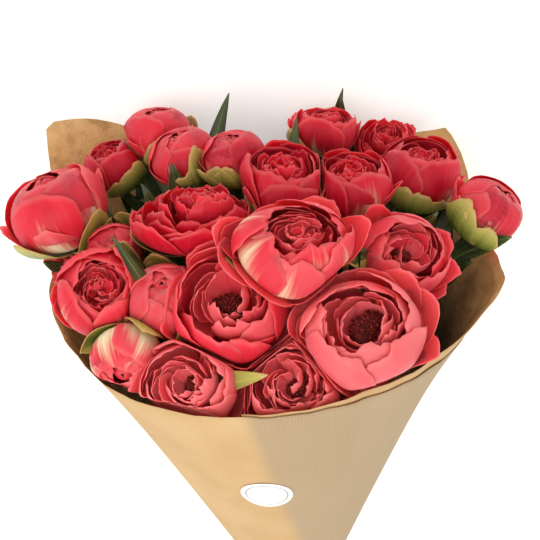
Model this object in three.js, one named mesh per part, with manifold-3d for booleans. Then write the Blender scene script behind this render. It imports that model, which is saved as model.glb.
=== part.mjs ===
// A bunch of coral peonies in a cone of kraft paper, tied at the neck and lying on its back.
// Millimetres, +Z up. The origin is on the surface, below the middle of the wrap's flat back.
// The blooms point to +Y and the cut stems to -Y.

import * as THREE from "three";
import { mergeVertices } from "three/addons/utils/BufferGeometryUtils.js";
import Module from "manifold-3d";

const radians = THREE.MathUtils.degToRad;

// How the bunch lies: its axis rises from the cut stems to the blooms.
const LIE_ANGLE = radians(15);
const TIE_BACK = 344;
const TIE_UP = 66;

// How the bunch is looked at: the eye is in front of the bunch and above the plane across it.
const VIEW_ANGLE = radians(32);
const VIEW_ROLL = radians(5.5);
const EYE_DISTANCE = 1000;
const MM_PER_PIXEL = 0.78;
const PICTURE_MIDDLE = 270;
const AIM_ALONG = 315;
const AIM_SIDE = 2.6;

// The dome that the blooms' middles lie on, measured along the axis from the tie.
const DOME_TOP = 383;
const DOME_FALL = 55;
const DOME_REACH = 165;
const DOME_TILT = 0.22;
const REARMOST = 124;
const BLOOMS_TOUCH = 0.78;
const SETTLE_ROUNDS = 60;
const SIDEWAYS_GIVE = 0.15;

// The stems cross at the tie as a turned bundle: each is a straight line, skew to the axis.
const STEM_RADIUS = 3.7;
const STEM_SIDES = 4;
const STEM_PITCH = 8.8;
const STEM_CUT = -85.3;
const CUT_JITTER = 5;
const BUNDLE_TURN = 50;
const STEM_BEND = 110;

// The paper cone.
const PAPER_THICK = 0.8;
const NECK_RADIUS = 31;
const CONE_ANGLE = radians(22.3);
const SKIRT_END = -42;
const SKIRT_SPREAD = 0.22;
const WRAP_START = -10;
const WRAP_TURN = 450;
const WRAP_STEP = 18;
const NECK_RISE = 1.3;
const RIM_RISE = 2.2;
const RIM_ALONG = 308;
const FLARE_POWER = 6;
const WALL_CLEAR = 3;
const OVERHANG = 1.6;

const PETAL_THICK = 0.8;
const PETAL_SHARE = 0.92;
const SEPAL_THICK = 0.8;
const LEAF_THICK = 0.8;
const LEAF_ROOM = 1.24;
const LEAF_FOLD = 0.25;
const LEAF_ROWS = [0, 0.35, 0.7, 1];
const CLEAR = 0.35;
const SEPAL_ROOM = 1.3;
const BLOOM_PRESS = 11;
const WALL_PRESS = 4;
const FLOOR_CLEAR = 1.3;
const EDGE_TOLERANCE = 0.5;
const STEM_TOLERANCE = 0.5;

const STAMENS = 5;
const TIE_TURNS = 2;
const TWINE_RADIUS = 1.5;
const LABEL_RADIUS = 20;
const LABEL_THICK = 0.6;
const LABEL_PIXEL = [267, 494];

// The blooms, peony_01 first: each one's middle in the picture, its width in millimetres, its form, how far
// its inner petals shut over it (in degrees), where it faces in the picture (right, up), where its large
// sepals are (degrees round the bloom from the picture's right), and how far it is lifted towards the eye.
const BLOOMS = [
  { at: [58, 211], wide: 72, form: "goblet", shut: 132, face: [-0.28, 0.72], sepals: [330, 210], lift: 94 },
  { at: [113, 166], wide: 46, form: "goblet", shut: 150, face: [-0.3, 0.78], sepals: [305, 60], lift: 14 },
  { at: [158, 131], wide: 50, form: "bud", shut: 168, face: [-0.05, 0.8], sepals: [280, 40] },
  { at: [184, 158], wide: 49, form: "bud", shut: 168, face: [-0.35, 0.75], sepals: [290, 10] },
  { at: [234, 158], wide: 45, form: "bud", shut: 168, face: [-0.1, 0.85], sepals: [245, 330] },
  { at: [194, 217], wide: 86, form: "bowl", shut: 124, face: [0.0, 0.78], sepals: [60, 180] },
  { at: [285, 180], wide: 62, form: "goblet", shut: 134, face: [0.0, 0.62], sepals: [322, 215] },
  { at: [351, 184], wide: 58, form: "goblet", shut: 136, face: [0.0, 0.86], sepals: [190, 90] },
  { at: [326, 130], wide: 50, form: "goblet", shut: 134, face: [0.05, 0.9], sepals: [215, 80] },
  { at: [387, 144], wide: 48, form: "bowl", shut: 126, face: [0.1, 0.7], sepals: [90, 270] },
  { at: [417, 173], wide: 58, form: "goblet", shut: 150, face: [0.15, 0.78], sepals: [265, 90] },
  { at: [487, 212], wide: 51, form: "bud", shut: 168, face: [0.5, 0.72], sepals: [215, 80], lift: 42 },
  { at: [280, 254], wide: 86, form: "bowl", shut: 154, face: [0.15, 0.42], sepals: [90, 200], lift: 24 },
  { at: [398, 258], wide: 66, form: "bowl", shut: 148, face: [0.2, 0.25], sepals: [185, 60] },
  { at: [361, 334], wide: 90, form: "bowl", shut: 150, face: [0.05, 0.3], sepals: [150, 20], lift: 4 },
  { at: [232, 312], wide: 86, form: "bowl", shut: 136, face: [-0.02, 0.3], sepals: [290, 90], lift: -2 },
  { at: [200, 376], wide: 72, form: "bowl", shut: 138, face: [-0.05, 0.12], sepals: [100, 350], lift: -18 },
  { at: [300, 386], wide: 70, form: "bowl", shut: 134, face: [0.0, 0.15], sepals: [60, 180], lift: -22 },
  { at: [169, 302], wide: 52, form: "bud", shut: 168, face: [-0.1, 0.6], sepals: [110, 300], lift: -8 },
  { at: [101, 294], wide: 59, form: "goblet", shut: 154, face: [0.03, 0.25], sepals: [320, 60], lift: 8 },
  { at: [67, 268], wide: 40, form: "goblet", shut: 140, face: [-0.4, 0.4], sepals: [100, 350], lift: -34 },
  { at: [116, 252], wide: 40, form: "bud", shut: 168, face: [0.0, 0.55], sepals: [100, 20], lift: -22 },
  { at: [128, 358], wide: 48, form: "goblet", shut: 150, face: [0.05, -0.1], sepals: [120, 200], lift: -14 },
];

// How far the stems of three blooms bow to the right, to pass their neighbours.
const SWAYS = { peony_01: 16, peony_02: 8, peony_13: 26 };

// The blooms that are open enough to show their stamens.
const STAMENS_IN = [14, 15, 16, 17, 18];

// Each leaf: the number of the bloom whose stem it grows from, where its tip is in the picture and how deep
// behind the bloom's own distance, how far below the bloom it starts, and its width.
const LEAVES = [
  { on: 4, tip: [228, 94], behind: 36, below: 40, width: 17 },
  { on: 9, tip: [343, 89], behind: 22, below: 44, width: 13 },
  { on: 7, tip: [296, 118], behind: 44, below: 40, width: 13 },
  { on: 12, tip: [511, 239], behind: 14, below: 52, width: 22 },
  { on: 14, tip: [438, 212], behind: 16, below: 46, width: 20 },
  { on: 13, tip: [341, 262], behind: 14, below: 60, width: 18 },
  { on: 15, tip: [371, 287], behind: 8, below: 56, width: 14 },
  { on: 21, tip: [40, 264], behind: 12, below: 30, width: 16 },
  { on: 22, tip: [104, 208], behind: 10, below: 48, width: 18 },
  { on: 19, tip: [122, 243], behind: 8, below: 60, width: 24 },
  { on: 17, tip: [247, 372], behind: -4, below: 50, width: 13 },
  { on: 4, tip: [140, 200], behind: 24, below: 44, width: 22 },
  { on: 11, tip: [464, 200], behind: 10, below: 58, width: 22 },
];

// The wrap's edge, by the turn from the picture's side of the bunch: how far along the axis it is, and how
// far it stands out from the cone. The sheet's two back corners and its right-hand fold stand out.
const EDGE = [
  [-10, 294, 2],
  [20, 297, 2],
  [50, 298, 6],
  [80, 308, 26],
  [100, 308, 18],
  [116, 322, 32],
  [132, 348, 50],
  [150, 334, 24],
  [180, 326, 8],
  [205, 352, 18],
  [214, 374, 28],
  [229, 389, 38],
  [245, 318, 20],
  [275, 300, 12],
  [300, 290, 5],
  [360, 294, 2],
  [385, 290, 2],
  [425, 283, 6],
  [440, 278, 8],
];
const BACK_CORNERS = [132, 229];

const vector = (x, y, z) => new THREE.Vector3(x, y, z);
const fraction = (x) => x - Math.floor(x);
// A number from -1 to 1 that depends only on the two numbers given.
const chance = (a, b) => 2 * fraction(Math.sin(a * 127.1 + b * 311.7) * 43758.5453) - 1;

// The bunch's own directions: side is the picture's right, front is towards the eye, axis is up the stems.
const side = vector(1, 0, 0);
const axis = vector(0, Math.cos(LIE_ANGLE), Math.sin(LIE_ANGLE));
const front = vector(0, -Math.sin(LIE_ANGLE), Math.cos(LIE_ANGLE));
const tie = vector(0, -TIE_BACK, TIE_UP);

function inPart(s, f, a) {
  return tie.clone().addScaledVector(side, s).addScaledVector(front, f).addScaledVector(axis, a);
}

function inBunch(point) {
  const q = point.clone().sub(tie);
  return [q.dot(side), q.dot(front), q.dot(axis)];
}

// The picture's directions, and the place of the eye.
const toEye = mixed(front, Math.cos(VIEW_ANGLE), axis, Math.sin(VIEW_ANGLE));
const upright = mixed(axis, Math.cos(VIEW_ANGLE), front, -Math.sin(VIEW_ANGLE));
const pictureRight = mixed(side, Math.cos(VIEW_ROLL), upright, -Math.sin(VIEW_ROLL));
const pictureUp = mixed(side, Math.sin(VIEW_ROLL), upright, Math.cos(VIEW_ROLL));
const eye = inPart(AIM_SIDE, 0, AIM_ALONG).addScaledVector(toEye, EYE_DISTANCE);

function mixed(a, share, b, other) {
  return a.clone().multiplyScalar(share).addScaledVector(b, other);
}

function sightLine([x, y]) {
  return toEye
    .clone()
    .multiplyScalar(-EYE_DISTANCE / MM_PER_PIXEL)
    .addScaledVector(pictureRight, x - PICTURE_MIDDLE)
    .addScaledVector(pictureUp, PICTURE_MIDDLE - y)
    .normalize();
}

// The first point on a pixel's line of sight where height() falls below 0, or where it is least.
function metFrom(pixel, height) {
  const line = sightLine(pixel);
  let best = null;
  for (let t = 0.6 * EYE_DISTANCE; t < 1.4 * EYE_DISTANCE; t += 1) {
    const point = eye.clone().addScaledVector(line, t);
    const over = height(...inBunch(point));
    if (over < 0) return point;
    if (!best || over < best.over) best = { over, point };
  }
  return best.point;
}

// How far a point is above the dome, or in front of the rearmost place for a bloom.
function overDome(s, f, a) {
  const fall = DOME_FALL * ((s * s + f * f) / DOME_REACH ** 2) + DOME_TILT * f;
  return Math.min(f + REARMOST, a - DOME_TOP + fall);
}

// Pushes blooms apart until they only press on each other, mostly along the line of sight.
function settled(blooms) {
  for (let round = 0; round < SETTLE_ROUNDS; round++)
    for (const a of blooms)
      for (const b of blooms) {
        if (a === b) continue;
        const apart = b.middle.clone().sub(a.middle);
        const short = BLOOMS_TOUCH * (a.radius + b.radius) - apart.length();
        if (short <= 0) continue;
        const push = apart.normalize().multiplyScalar(short / 2);
        const deep = push.dot(toEye);
        push.addScaledVector(toEye, -deep).multiplyScalar(SIDEWAYS_GIVE).addScaledVector(toEye, deep);
        a.middle.sub(push);
        b.middle.add(push);
      }
  return blooms;
}

function seated(row, index) {
  const radius = row.wide / 2;
  const middle = metFrom(row.at, overDome).addScaledVector(sightLine(row.at), -(row.lift ?? 0));
  const [right, up] = row.face;
  const outward = toEye
    .clone()
    .multiplyScalar(Math.sqrt(1 - right * right - up * up))
    .addScaledVector(pictureRight, right)
    .addScaledVector(pictureUp, up);
  const name = `peony_${String(index + 1).padStart(2, "0")}`;
  return { ...row, name, index, radius, middle, outward };
}

// A bloom's own frame: its base is the top of the stem, and its turn is measured from the picture's right.
function framed(bloom) {
  const z = bloom.outward;
  const x = pictureRight.clone().addScaledVector(z, -pictureRight.dot(z)).normalize();
  const y = z.clone().cross(x);
  const base = bloom.middle.clone().addScaledVector(z, -0.88 * bloom.radius);
  return { ...bloom, x, y, z, base };
}

// The planes between a bloom and its neighbours, as a normal and how far along it the bloom may reach.
function cellOf(bloom, blooms) {
  const planes = [];
  for (const other of blooms) {
    if (other === bloom) continue;
    const apart = other.middle.clone().sub(bloom.middle);
    const gap = apart.length();
    if (gap > 2.4 * (bloom.radius + other.radius)) continue;
    const share = (gap * gap + bloom.radius ** 2 - other.radius ** 2) / (2 * gap);
    const normal = apart.normalize();
    const reach = normal.dot(bloom.middle) + share - CLEAR - PETAL_THICK / 2;
    planes.push({ normal, reach });
  }
  return planes;
}

// A depth inside a wall, kept positive: it is unchanged far from the wall and flattens out against it.
const pressed = (depth, soft) => (depth > soft ? depth : soft * Math.exp(depth / soft - 1));

function coneRadius(along) {
  if (along >= 0) return NECK_RADIUS + along * Math.tan(CONE_ANGLE);
  return NECK_RADIUS - along * SKIRT_SPREAD;
}

// The wrap's edge at a turn, between the two nearest of those given.
function edgeAt(turn) {
  const next = Math.max(1, EDGE.findIndex(([at]) => turn <= at));
  const [from, low, near] = EDGE[next - 1];
  const [to, high, far] = EDGE[next];
  const share = THREE.MathUtils.clamp((turn - from) / (to - from), 0, 1);
  return { along: low + (high - low) * share, out: near + (far - near) * share };
}

// The wrap's inner layer at a turn: the sheet starts a little to the right of the front and overlaps itself.
const layerAt = (turn) => (turn < WRAP_START ? turn + 360 : turn);

// How far from the axis something inside the wrap may reach: it may lean out only above the edge.
function wallRadius(s, f, a) {
  const turn = (THREE.MathUtils.radToDeg(Math.atan2(s, f)) + 360) % 360;
  const edge = edgeAt(layerAt(turn)).along;
  const inside = Math.min(a, edge + 2);
  return coneRadius(inside) - WALL_CLEAR + Math.max(0, a - edge - 2) * OVERHANG;
}

// Bends a point clear of the neighbours, of the wrap's wall and of the surface below.
function bent(point, planes, room = SEPAL_ROOM) {
  const p = point.clone();
  for (let pass = 0; pass < 2; pass++)
    for (const { normal, reach } of planes) {
      const depth = reach - room - normal.dot(p);
      p.addScaledVector(normal, depth - pressed(depth, BLOOM_PRESS));
    }
  const [s, f, a] = inBunch(p);
  const out = Math.hypot(s, f);
  const limit = wallRadius(s, f, a) - room;
  if (limit - out < WALL_PRESS) {
    const scale = (limit - pressed(limit - out, WALL_PRESS)) / out;
    p.copy(inPart(s * scale, f * scale, a));
  }
  p.z = FLOOR_CLEAR + room + pressed(p.z - FLOOR_CLEAR - room, WALL_PRESS);
  return p;
}

const wasm = await Module();
wasm.setup();

function solidOf(geometry) {
  const bare = new THREE.BufferGeometry().setAttribute("position", geometry.getAttribute("position"));
  if (geometry.index) bare.setIndex(geometry.index);
  const merged = mergeVertices(bare, 1e-4);
  return new wasm.Manifold(
    new wasm.Mesh({
      numProp: 3,
      vertProperties: new Float32Array(merged.getAttribute("position").array),
      triVerts: new Uint32Array(merged.index.array),
    }),
  );
}

function geometryOf(solid) {
  const mesh = solid.getMesh();
  const points = new Float32Array(mesh.numVert * 3);
  for (let i = 0; i < mesh.numVert; i++)
    points.set(mesh.vertProperties.subarray(i * mesh.numProp, i * mesh.numProp + 3), i * 3);
  return new THREE.BufferGeometry()
    .setAttribute("position", new THREE.BufferAttribute(points, 3))
    .setIndex(new THREE.BufferAttribute(new Uint32Array(mesh.triVerts), 1));
}

const largestOf = (solid) =>
  solid.decompose().reduce((most, next) => (next.volume() > most.volume() ? next : most));

// Joins solids, drops edges that hardly bend, and keeps the largest body, so that a loose scrap is dropped.
function joined(solids, tolerance = EDGE_TOLERANCE) {
  const all = solids.reduce((sum, next) => sum.add(next));
  return largestOf(largestOf(all).asOriginal().simplify(tolerance));
}

function shapeOf(points, faces) {
  const flat = new Float32Array(points.length * 3);
  points.forEach((p, i) => p.toArray(flat, i * 3));
  const position = new THREE.BufferAttribute(flat, 3);
  return new THREE.BufferGeometry().setAttribute("position", position).setIndex(faces);
}

// A thin closed blade between two grids of points, given as rows.
function bladeBetween(top, bottom) {
  const rows = top.length;
  const columns = top[0].length;
  const points = [...top.flat(), ...bottom.flat()];
  const at = (row, column, below) => (below ? rows * columns : 0) + row * columns + column;
  const faces = [];
  const quad = (a, b, c, d) => faces.push(a, b, c, a, c, d);
  for (let r = 0; r < rows - 1; r++)
    for (let c = 0; c < columns - 1; c++) {
      quad(at(r, c, 0), at(r, c + 1, 0), at(r + 1, c + 1, 0), at(r + 1, c, 0));
      const [a, b, d, e] = [at(r, c, 1), at(r, c + 1, 1), at(r + 1, c + 1, 1), at(r + 1, c, 1)];
      faces.push(a, d, b, a, e, d);
    }
  for (let c = 0; c < columns - 1; c++) {
    quad(at(0, c, 1), at(0, c + 1, 1), at(0, c + 1, 0), at(0, c, 0));
    quad(at(rows - 1, c, 0), at(rows - 1, c + 1, 0), at(rows - 1, c + 1, 1), at(rows - 1, c, 1));
  }
  for (let r = 0; r < rows - 1; r++) {
    quad(at(r, 0, 0), at(r + 1, 0, 0), at(r + 1, 0, 1), at(r, 0, 1));
    const c = columns - 1;
    quad(at(r, c, 1), at(r + 1, c, 1), at(r + 1, c, 0), at(r, c, 0));
  }
  return shapeOf(points, faces);
}

// A blade of even thickness about a grid of middle points.
function blade(grid, thick) {
  const rows = grid.length;
  const columns = grid[0].length;
  const normalAt = (r, c) => {
    const along = grid[Math.min(r + 1, rows - 1)][c].clone().sub(grid[Math.max(r - 1, 0)][c]);
    const across = grid[r][Math.min(c + 1, columns - 1)].clone().sub(grid[r][Math.max(c - 1, 0)]);
    return across.cross(along).normalize();
  };
  const shifted = (by) =>
    grid.map((row, r) => row.map((p, c) => p.clone().addScaledVector(normalAt(r, c), by)));
  return solidOf(bladeBetween(shifted(thick / 2), shifted(-thick / 2)));
}

// How wide a petal is along its length, as a share of its widest.
function petalOutline(t) {
  const widest = 0.62;
  if (t < widest) return 0.3 + 0.7 * Math.sin((Math.PI / 2) * (t / widest));
  return Math.sqrt(1 - 0.88 * ((t - widest) / (1 - widest)) ** 2.6);
}

// Points of a petal, as rows from root to tip. Its midline turns from one slope to another as it goes out
// and up, it bows round the bloom, and one edge lies further out than the other.
function petalGrid(bloom, planes, petal, rows, columns, room) {
  const steps = 24;
  const from = radians(petal.from);
  const to = radians(petal.to);
  const length = petal.bend * (to - from);
  const midline = [{ out: petal.root, up: petal.up }];
  for (let i = 1; i <= steps; i++) {
    const last = midline[i - 1];
    const slope = from + (to - from) * (i / steps);
    midline.push({
      out: last.out + (length / steps) * Math.cos(slope),
      up: last.up + (length / steps) * Math.sin(slope),
    });
  }
  return rows.map((t) => {
    const { out, up } = midline[Math.round(t * steps)];
    const half = Math.min((petal.half * petal.outline(t)) / out, (PETAL_SHARE * Math.PI) / petal.count);
    return columns.map((u) => {
      const turn = radians(petal.turn) + half * u;
      const reach = out * (1 + petal.skew * u * t);
      const point = bloom.base
        .clone()
        .addScaledVector(bloom.x, reach * Math.cos(turn))
        .addScaledVector(bloom.y, reach * Math.sin(turn))
        .addScaledVector(bloom.z, up);
      return bent(point, planes, room);
    });
  });
}

// How wide a sepal or a leaf is along its length: pointed at the tip.
const leafOutline = (t) => 0.2 + 0.8 * Math.sin(Math.PI * Math.min(1, 0.12 + 0.86 * t)) ** 0.8;

const ROWS = [0, 0.33, 0.67, 1];
const COLUMNS = [-1, 0, 1];

// A ring of petals, each a little different in how far it closes.
function ring(bloom, count, shape, start = 0) {
  return Array.from({ length: count }, (_, i) => ({
    ...shape,
    count,
    turn: start + (360 / count) * i + 3 * chance(bloom.index, i + shape.to),
    to: shape.to + shape.vary * chance(bloom.index + 31, i + shape.to),
  }));
}

// The petals of each form. R is the bloom's radius.
function petalsOf(bloom) {
  const R = bloom.radius;
  const start = 90 * chance(bloom.index, 5);
  const foot = { from: -8, root: 0.12 * R, up: 0.4 + 0.04 * R };
  const wall = { ...foot, to: bloom.shut, skew: 0.025, vary: 6, outline: petalOutline };
  if (bloom.form === "bud")
    return ring(bloom, 4, { ...wall, bend: 0.88 * R, half: 0.8 * R }, start);
  if (bloom.form === "goblet")
    return [
      ...ring(bloom, 4, { ...wall, bend: 0.88 * R, half: 0.8 * R }, start),
      ...ring(bloom, 2, { ...wall, bend: 0.7 * R, half: 0.8 * R, up: 0.15 * R }, start + 45),
    ];
  const cup = 0.76 * R;
  const guards = R > 40 ? 5 : 4;
  return [
    ...ring(bloom, guards, { ...wall, from: -4, to: 76, bend: 0.95 * R, half: 0.66 * R, vary: 10 }, start),
    ...ring(bloom, 4, { ...wall, bend: cup, half: 0.8 * cup, up: 0.17 * R }, start + 36),
  ];
}

function turnedAbout(bloom, profile, sides, planes) {
  const lathe = new THREE.LatheGeometry(
    profile.map(([out, up]) => new THREE.Vector2(out, up)),
    sides,
  );
  const position = lathe.getAttribute("position");
  for (let i = 0; i < position.count; i++) {
    const [x, y, z] = [position.getX(i), position.getY(i), position.getZ(i)];
    let p = bloom.base.clone().addScaledVector(bloom.x, x).addScaledVector(bloom.y, -z);
    p.addScaledVector(bloom.z, y);
    if (planes) p = bent(p, planes);
    position.setXYZ(i, p.x, p.y, p.z);
  }
  const solid = solidOf(lathe);
  if (solid.volume() < 0) throw new Error("a turned piece is inside out");
  return solid;
}

// What the petals grow from, as how far out and up it reaches: a nearly full ball in a bud, a low knob in a
// goblet, and in a bowl a mass of small petals with a hollow for the stamens.
function headOf(bloom, planes) {
  const R = bloom.radius;
  const foot = [
    [0, CLEAR],
    [0.2 * R, CLEAR],
    [0.26 * R, 0.24 * R],
  ];
  const tops = {
    bud: [
      [0.6 * R, 0.42 * R],
      [0.86 * R, 0.95 * R],
      [0.66 * R, 1.5 * R],
      [0, 1.82 * R],
    ],
    goblet: [
      [0.44 * R, 0.5 * R],
      [0.4 * R, 1.1 * R],
      [0, 1.3 * R],
    ],
    bowl: [
      [0.54 * R, 0.58 * R],
      [0.6 * R, 0.95 * R],
      [0.42 * R, 1.34 * R],
      [0.26 * R, 1.06 * R],
      [0, 0.96 * R],
    ],
  };
  return turnedAbout(bloom, [...foot, ...tops[bloom.form]], 6, planes);
}

function headSolid(bloom, planes) {
  const petals = petalsOf(bloom).map((petal) =>
    blade(petalGrid(bloom, planes, petal, ROWS, COLUMNS), PETAL_THICK),
  );
  return joined([headOf(bloom, planes), ...petals]);
}

// A closed tube through the points, with its own radius at each, that keeps its sides from twisting.
function tube(points, radii, sides) {
  const flat = [];
  let across = vector(1, 0, 0);
  points.forEach((point, i) => {
    const next = points[Math.min(i + 1, points.length - 1)];
    const along = next.clone().sub(points[Math.max(i - 1, 0)]).normalize();
    across = across.clone().addScaledVector(along, -across.dot(along)).normalize();
    const third = along.clone().cross(across);
    for (let k = 0; k < sides; k++) {
      const turn = (2 * Math.PI * k) / sides;
      flat.push(
        point
          .clone()
          .addScaledVector(across, radii[i] * Math.cos(turn))
          .addScaledVector(third, radii[i] * Math.sin(turn)),
      );
    }
  });
  const faces = [];
  const last = (points.length - 1) * sides;
  for (let i = 0; i < points.length - 1; i++)
    for (let k = 0; k < sides; k++) {
      const [a, b] = [i * sides + k, i * sides + ((k + 1) % sides)];
      faces.push(a, b, b + sides, a, b + sides, a + sides);
    }
  for (let k = 1; k < sides - 1; k++) faces.push(0, k + 1, k, last, last + k, last + k + 1);
  return solidOf(shapeOf(flat, faces));
}

// Where a stem of the bundle is at a distance along the axis, from its place at the tie.
const onStem = ([s, f], a) => [s - (a / BUNDLE_TURN) * f, f + (a / BUNDLE_TURN) * s];

// Where the stem of a bloom that is at (s, f) would pass the tie.
function atTie(s, f, a) {
  const k = a / BUNDLE_TURN;
  return [(s + k * f) / (1 + k * k), (f - k * s) / (1 + k * k)];
}

// The places of the stems at the tie: packed round, none closer than the pitch.
function bundled(heads) {
  const places = heads.map((bloom) => {
    const [s, f, a] = inBunch(bloom.base);
    return atTie(s, f, a - STEM_BEND / 2);
  });
  for (let round = 0; round < 400; round++) {
    for (const p of places) {
      p[0] *= 0.99;
      p[1] *= 0.99;
    }
    for (const p of places)
      for (const q of places) {
        if (p === q) continue;
        const [x, y] = [q[0] - p[0], q[1] - p[1]];
        const gap = Math.hypot(x, y);
        if (gap >= STEM_PITCH) continue;
        const push = (STEM_PITCH - gap) / 2 / gap;
        p[0] -= x * push;
        p[1] -= y * push;
        q[0] += x * push;
        q[1] += y * push;
      }
  }
  return places;
}

// A stem's middle line: straight through the tie, then bent over to meet the bloom square.
function stemLine(bloom, place) {
  const [, , high] = inBunch(bloom.base);
  const cut = STEM_CUT + CUT_JITTER * chance(bloom.index, 77);
  const bendAt = high - STEM_BEND;
  const low = inPart(...onStem(place, cut), cut);
  const from = inPart(...onStem(place, bendAt), bendAt);
  const on = inPart(...onStem(place, bendAt + 0.45 * STEM_BEND), bendAt + 0.45 * STEM_BEND);
  const under = bloom.base.clone().addScaledVector(bloom.z, -Math.min(0.4 * STEM_BEND, bloom.radius + 8));
  under.addScaledVector(side, SWAYS[bloom.name] ?? 0);
  const end = bloom.base.clone().addScaledVector(bloom.z, -9);
  const curve = new THREE.CubicBezierCurve3(from, on, under, end);
  return [low, ...curve.getPoints(3)];
}

// The sepals of a bloom lie against the outside of its petals.
function sepalsOf(bloom, planes) {
  const R = bloom.radius;
  const open = bloom.form === "bowl";
  const shape = {
    from: open ? -6 : -8,
    to: open ? 56 : 84,
    bend: (open ? 0.97 : 0.9) * R + 4.8,
    root: 0.1 * R,
    up: -1.4,
    half: (open ? 0.4 : 0.55) * R,
    skew: 0,
    count: 5,
    outline: leafOutline,
  };
  return bloom.sepals.map((turn) =>
    blade(petalGrid(bloom, planes, { ...shape, turn }, ROWS, COLUMNS, 0), SEPAL_THICK),
  );
}

// Moves a point of a leaf out of the space that the blooms take.
function outOfBlooms(point) {
  const p = point.clone();
  for (let round = 0; round < 6; round++)
    for (const bloom of blooms) {
      const off = p.clone().sub(bloom.middle);
      const room = LEAF_ROOM * bloom.radius + 2;
      if (off.length() < room) p.copy(bloom.middle).addScaledVector(off.normalize(), room);
    }
  return p;
}

// A leaf rises along its stem, then leans to where its tip is seen. It is folded a little along its middle.
function leafSolid(leaf, bloom, points) {
  const base = bloom.base.clone().addScaledVector(bloom.z, -9);
  let left = leaf.below;
  let at = points.length - 1;
  while (at > 0 && left > points[at].distanceTo(points[at - 1])) {
    left -= points[at].distanceTo(points[at - 1]);
    at -= 1;
  }
  const root = points[at].clone().lerp(points[at - 1], left / points[at].distanceTo(points[at - 1]));
  const line = sightLine(leaf.tip);
  const reach = bloom.middle.clone().sub(eye).dot(line) + leaf.behind;
  const tip = eye.clone().addScaledVector(line, reach);
  const along = base.clone().sub(root).normalize();
  const control = root.clone().addScaledVector(along, 0.35 * root.distanceTo(tip));
  const curve = new THREE.QuadraticBezierCurve3(root, control, tip);
  const grid = LEAF_ROWS.map((t) => {
    const middle = curve.getPoint(t);
    const across = curve.getTangent(t).cross(toEye).normalize();
    const fold = across.clone().cross(curve.getTangent(t)).normalize();
    const half = (leaf.width / 2) * leafOutline(t);
    return COLUMNS.map((u) => {
      const point = middle.clone().addScaledVector(across, half * u);
      point.addScaledVector(fold, -LEAF_FOLD * half * Math.abs(u));
      return t < 0.2 ? point : bent(outOfBlooms(point), [], 0);
    });
  });
  return blade(grid, LEAF_THICK);
}

function stemSolid(bloom, planes, place) {
  const points = stemLine(bloom, place);
  const leaves = LEAVES.filter((leaf) => leaf.on === bloom.index + 1).map((leaf) =>
    leafSolid(leaf, bloom, [...points]),
  );
  const radii = points.map(() => STEM_RADIUS);
  const flare = 0.2 * bloom.radius;
  for (const up of [-2.4, 0]) {
    points.push(bloom.base.clone().addScaledVector(bloom.z, up));
    radii.push(flare);
  }
  return joined([tube(points, radii, STEM_SIDES), ...sepalsOf(bloom, planes), ...leaves], STEM_TOLERANCE);
}

// The radius of the paper's middle. It grows with the turn so that the layers lie on each other, and it
// stands out near the edge.
function paperRadius(turn, along) {
  const rise = NECK_RISE + (RIM_RISE - NECK_RISE) * Math.max(0, along / RIM_ALONG);
  const edge = edgeAt(turn);
  const flare = edge.out * Math.max(0, along / edge.along) ** FLARE_POWER;
  return coneRadius(along) + (rise * (turn - WRAP_START)) / 360 + flare;
}

// A point of the paper, or of something that lies on it, pressed flat where it would sink into the surface.
function onPaper(turn, along, offset = 0) {
  const out = paperRadius(turn, along) + offset;
  const angle = radians(turn);
  const p = inPart(out * Math.sin(angle), out * Math.cos(angle), along);
  p.z = Math.max(p.z, PAPER_THICK / 2 - offset);
  return p;
}

// The turns at which the sheet bends: even steps, and the back corners in place of the nearest step.
function sheetTurns() {
  const turns = [...BACK_CORNERS];
  for (let turn = WRAP_START; turn <= WRAP_START + WRAP_TURN; turn += WRAP_STEP)
    if (BACK_CORNERS.every((corner) => Math.abs(turn - corner) > WRAP_STEP / 2)) turns.push(turn);
  return turns.sort((a, b) => a - b);
}

function wrapSolid() {
  const shares = [0.4, 0.7, 0.86, 1];
  const sheet = (offset) =>
    sheetTurns().map((turn) => {
      const upper = shares.map((share) => share * edgeAt(turn).along);
      return [SKIRT_END, 0, ...upper].map((along) => onPaper(turn, along, offset));
    });
  return solidOf(bladeBetween(sheet(-PAPER_THICK / 2), sheet(PAPER_THICK / 2)));
}

// How far out the twine's middle lies round the wrap.
function twineRadius(along) {
  const layers = (NECK_RISE * WRAP_TURN) / 360 + PAPER_THICK / 2;
  return coneRadius(along) + layers + CLEAR + TWINE_RADIUS * 1.4;
}

function twineSolid() {
  const points = [];
  const steps = (TIE_TURNS * 360) / WRAP_STEP;
  for (let i = 0; i <= steps; i++) {
    const angle = radians(WRAP_START + i * WRAP_STEP);
    const along = 2.2 * TWINE_RADIUS * (i / steps - 0.5) * TIE_TURNS;
    const out = twineRadius(along);
    points.push(inPart(out * Math.sin(angle), out * Math.cos(angle), along));
  }
  const turns = tube(points, points.map(() => TWINE_RADIUS), 3);
  const angle = radians(WRAP_START);
  const out = twineRadius(0) + 1.2;
  const middle = inPart(out * Math.sin(angle), out * Math.cos(angle), 0);
  const ball = new THREE.SphereGeometry(1, 6, 4).scale(6, 4.5, 2.6).rotateX(LIE_ANGLE);
  const knot = solidOf(ball.translate(middle.x, middle.y, middle.z));
  return joined([turns, knot], 0.05);
}

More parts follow.
